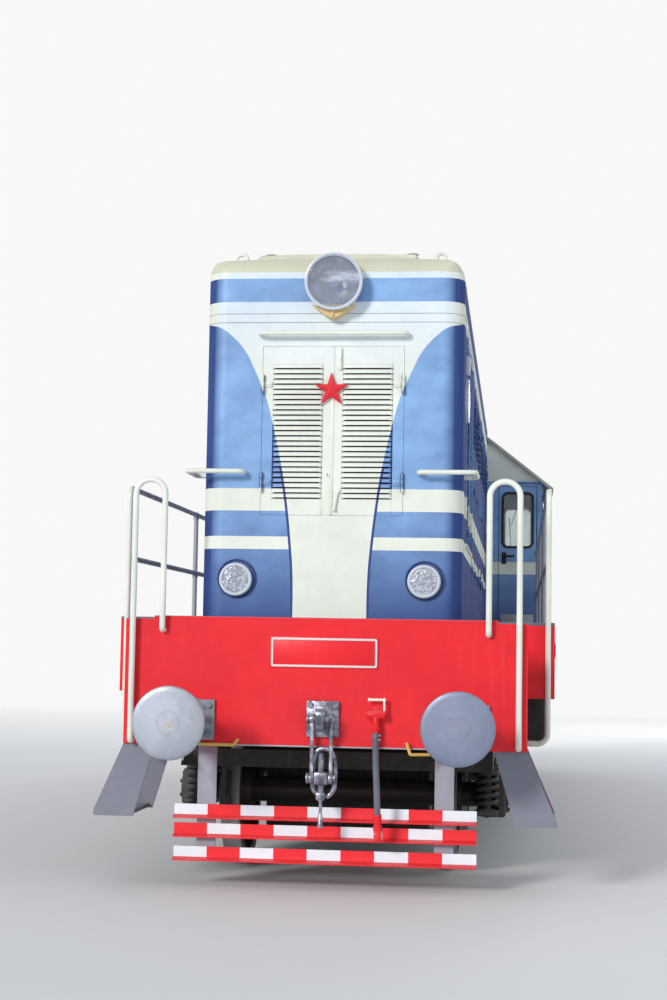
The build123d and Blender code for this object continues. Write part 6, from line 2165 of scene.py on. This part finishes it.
# Floor, backdrop colour and soft light
studio = {
    "floor": (0.80, 0.80, 0.79),
    "backdrop": (0.94, 0.94, 0.94),
    "floorSize": 60,
    "fadeFrom": 9,
    "fadeTo": 26,
    "sky": (0.80, 0.89, 1.0),
    "skyStrength": 0.55,
    "sun": {"from": (-0.46, -0.86, 0.38), "strength": 2.02, "angle": 12, "colour": (1.0, 0.975, 0.94)},
    "fill": {"place": (12, -11, 7), "aim": (0, -2, 1.8), "size": 10, "power": 200},
    "back": {"place": (7, 19, 9), "aim": (0, 3, 2), "size": 9, "power": 900},
}


def backdropShare(bench, share=None):
    # What the camera sees, and what gloss and glass show, is the backdrop
    rays = bench.add("LightPath").outputs
    total = rays["Is Camera Ray"]
    for ray in ("Is Glossy Ray", "Is Transmission Ray"):
        total = bench.add("Math", {0: total, 1: rays[ray]}, operation="ADD", use_clamp=True).outputs[0]
    if share is None:
        return total
    return bench.add("Math", {0: total, 1: share}, operation="MULTIPLY").outputs[0]


def makeFloor():
    shape = bmesh.new()
    bmesh.ops.create_grid(shape, x_segments=1, y_segments=1, size=studio["floorSize"])
    mesh = bpy.data.meshes.new("floor")
    shape.to_mesh(mesh)
    shape.free()
    bench = Bench("floorPale")
    bench.set("Base Color", (*studio["floor"], 1))
    bench.set("Roughness", 0.75)
    bench.set("Specular IOR Level", 0.2)
    # Far from the object the floor turns to the backdrop's colour
    length = bench.add("VectorMath", {0: bench.place}, operation="LENGTH").outputs["Value"]
    fade = bench.add("MapRange", {"Value": length, "From Min": studio["fadeFrom"], "From Max": studio["fadeTo"]})
    white = bench.add("Emission", {"Color": (*studio["backdrop"], 1)})
    mix = bench.add(
        "MixShader", {0: backdropShare(bench, fade.outputs[0]), 1: bench.shader.outputs[0], 2: white.outputs[0]}
    )
    bench.feed(bench.tree.nodes["Material Output"].inputs["Surface"], mix.outputs[0])
    mesh.materials.append(bench.material)
    floor = link("floor", mesh)


def hangLamp(name, kind, turn, place=(0, 0, 0), **settings):
    data = bpy.data.lights.new(name, kind)
    for key, value in settings.items():
        setattr(data, key, value)
    link(name, data).matrix_world = Matrix.Translation(place) @ turn.to_track_quat("-Z", "Y").to_matrix().to_4x4()


def makeLight():
    sun = studio["sun"]
    hangLamp(
        "sun", "SUN", -Vector(sun["from"]), energy=sun["strength"], angle=math.radians(sun["angle"]),
        color=sun["colour"],
    )
    for name in ("fill", "back"):
        lamp = studio[name]
        turn = Vector(lamp["aim"]) - Vector(lamp["place"])
        hangLamp(name, "AREA", turn, lamp["place"], shape="SQUARE", size=lamp["size"], energy=lamp["power"])


def makeWorld():
    world = bpy.data.worlds.new("studio")
    bpy.context.scene.world = world
    bench = Bench("studio", world)
    soft = bench.tree.nodes["Background"]
    bench.feed(soft.inputs["Color"], (*studio["sky"], 1))
    bench.feed(soft.inputs["Strength"], studio["skyStrength"])
    seen = bench.add("Background", {"Color": (*studio["backdrop"], 1)})
    mix = bench.add("MixShader", {0: backdropShare(bench), 1: soft.outputs[0], 2: seen.outputs[0]})
    bench.feed(bench.tree.nodes["World Output"].inputs["Surface"], mix.outputs[0])


makeFloor()
makeLight()
makeWorld()
bpy.context.scene.view_settings.view_transform = "Standard"
print("studio set")
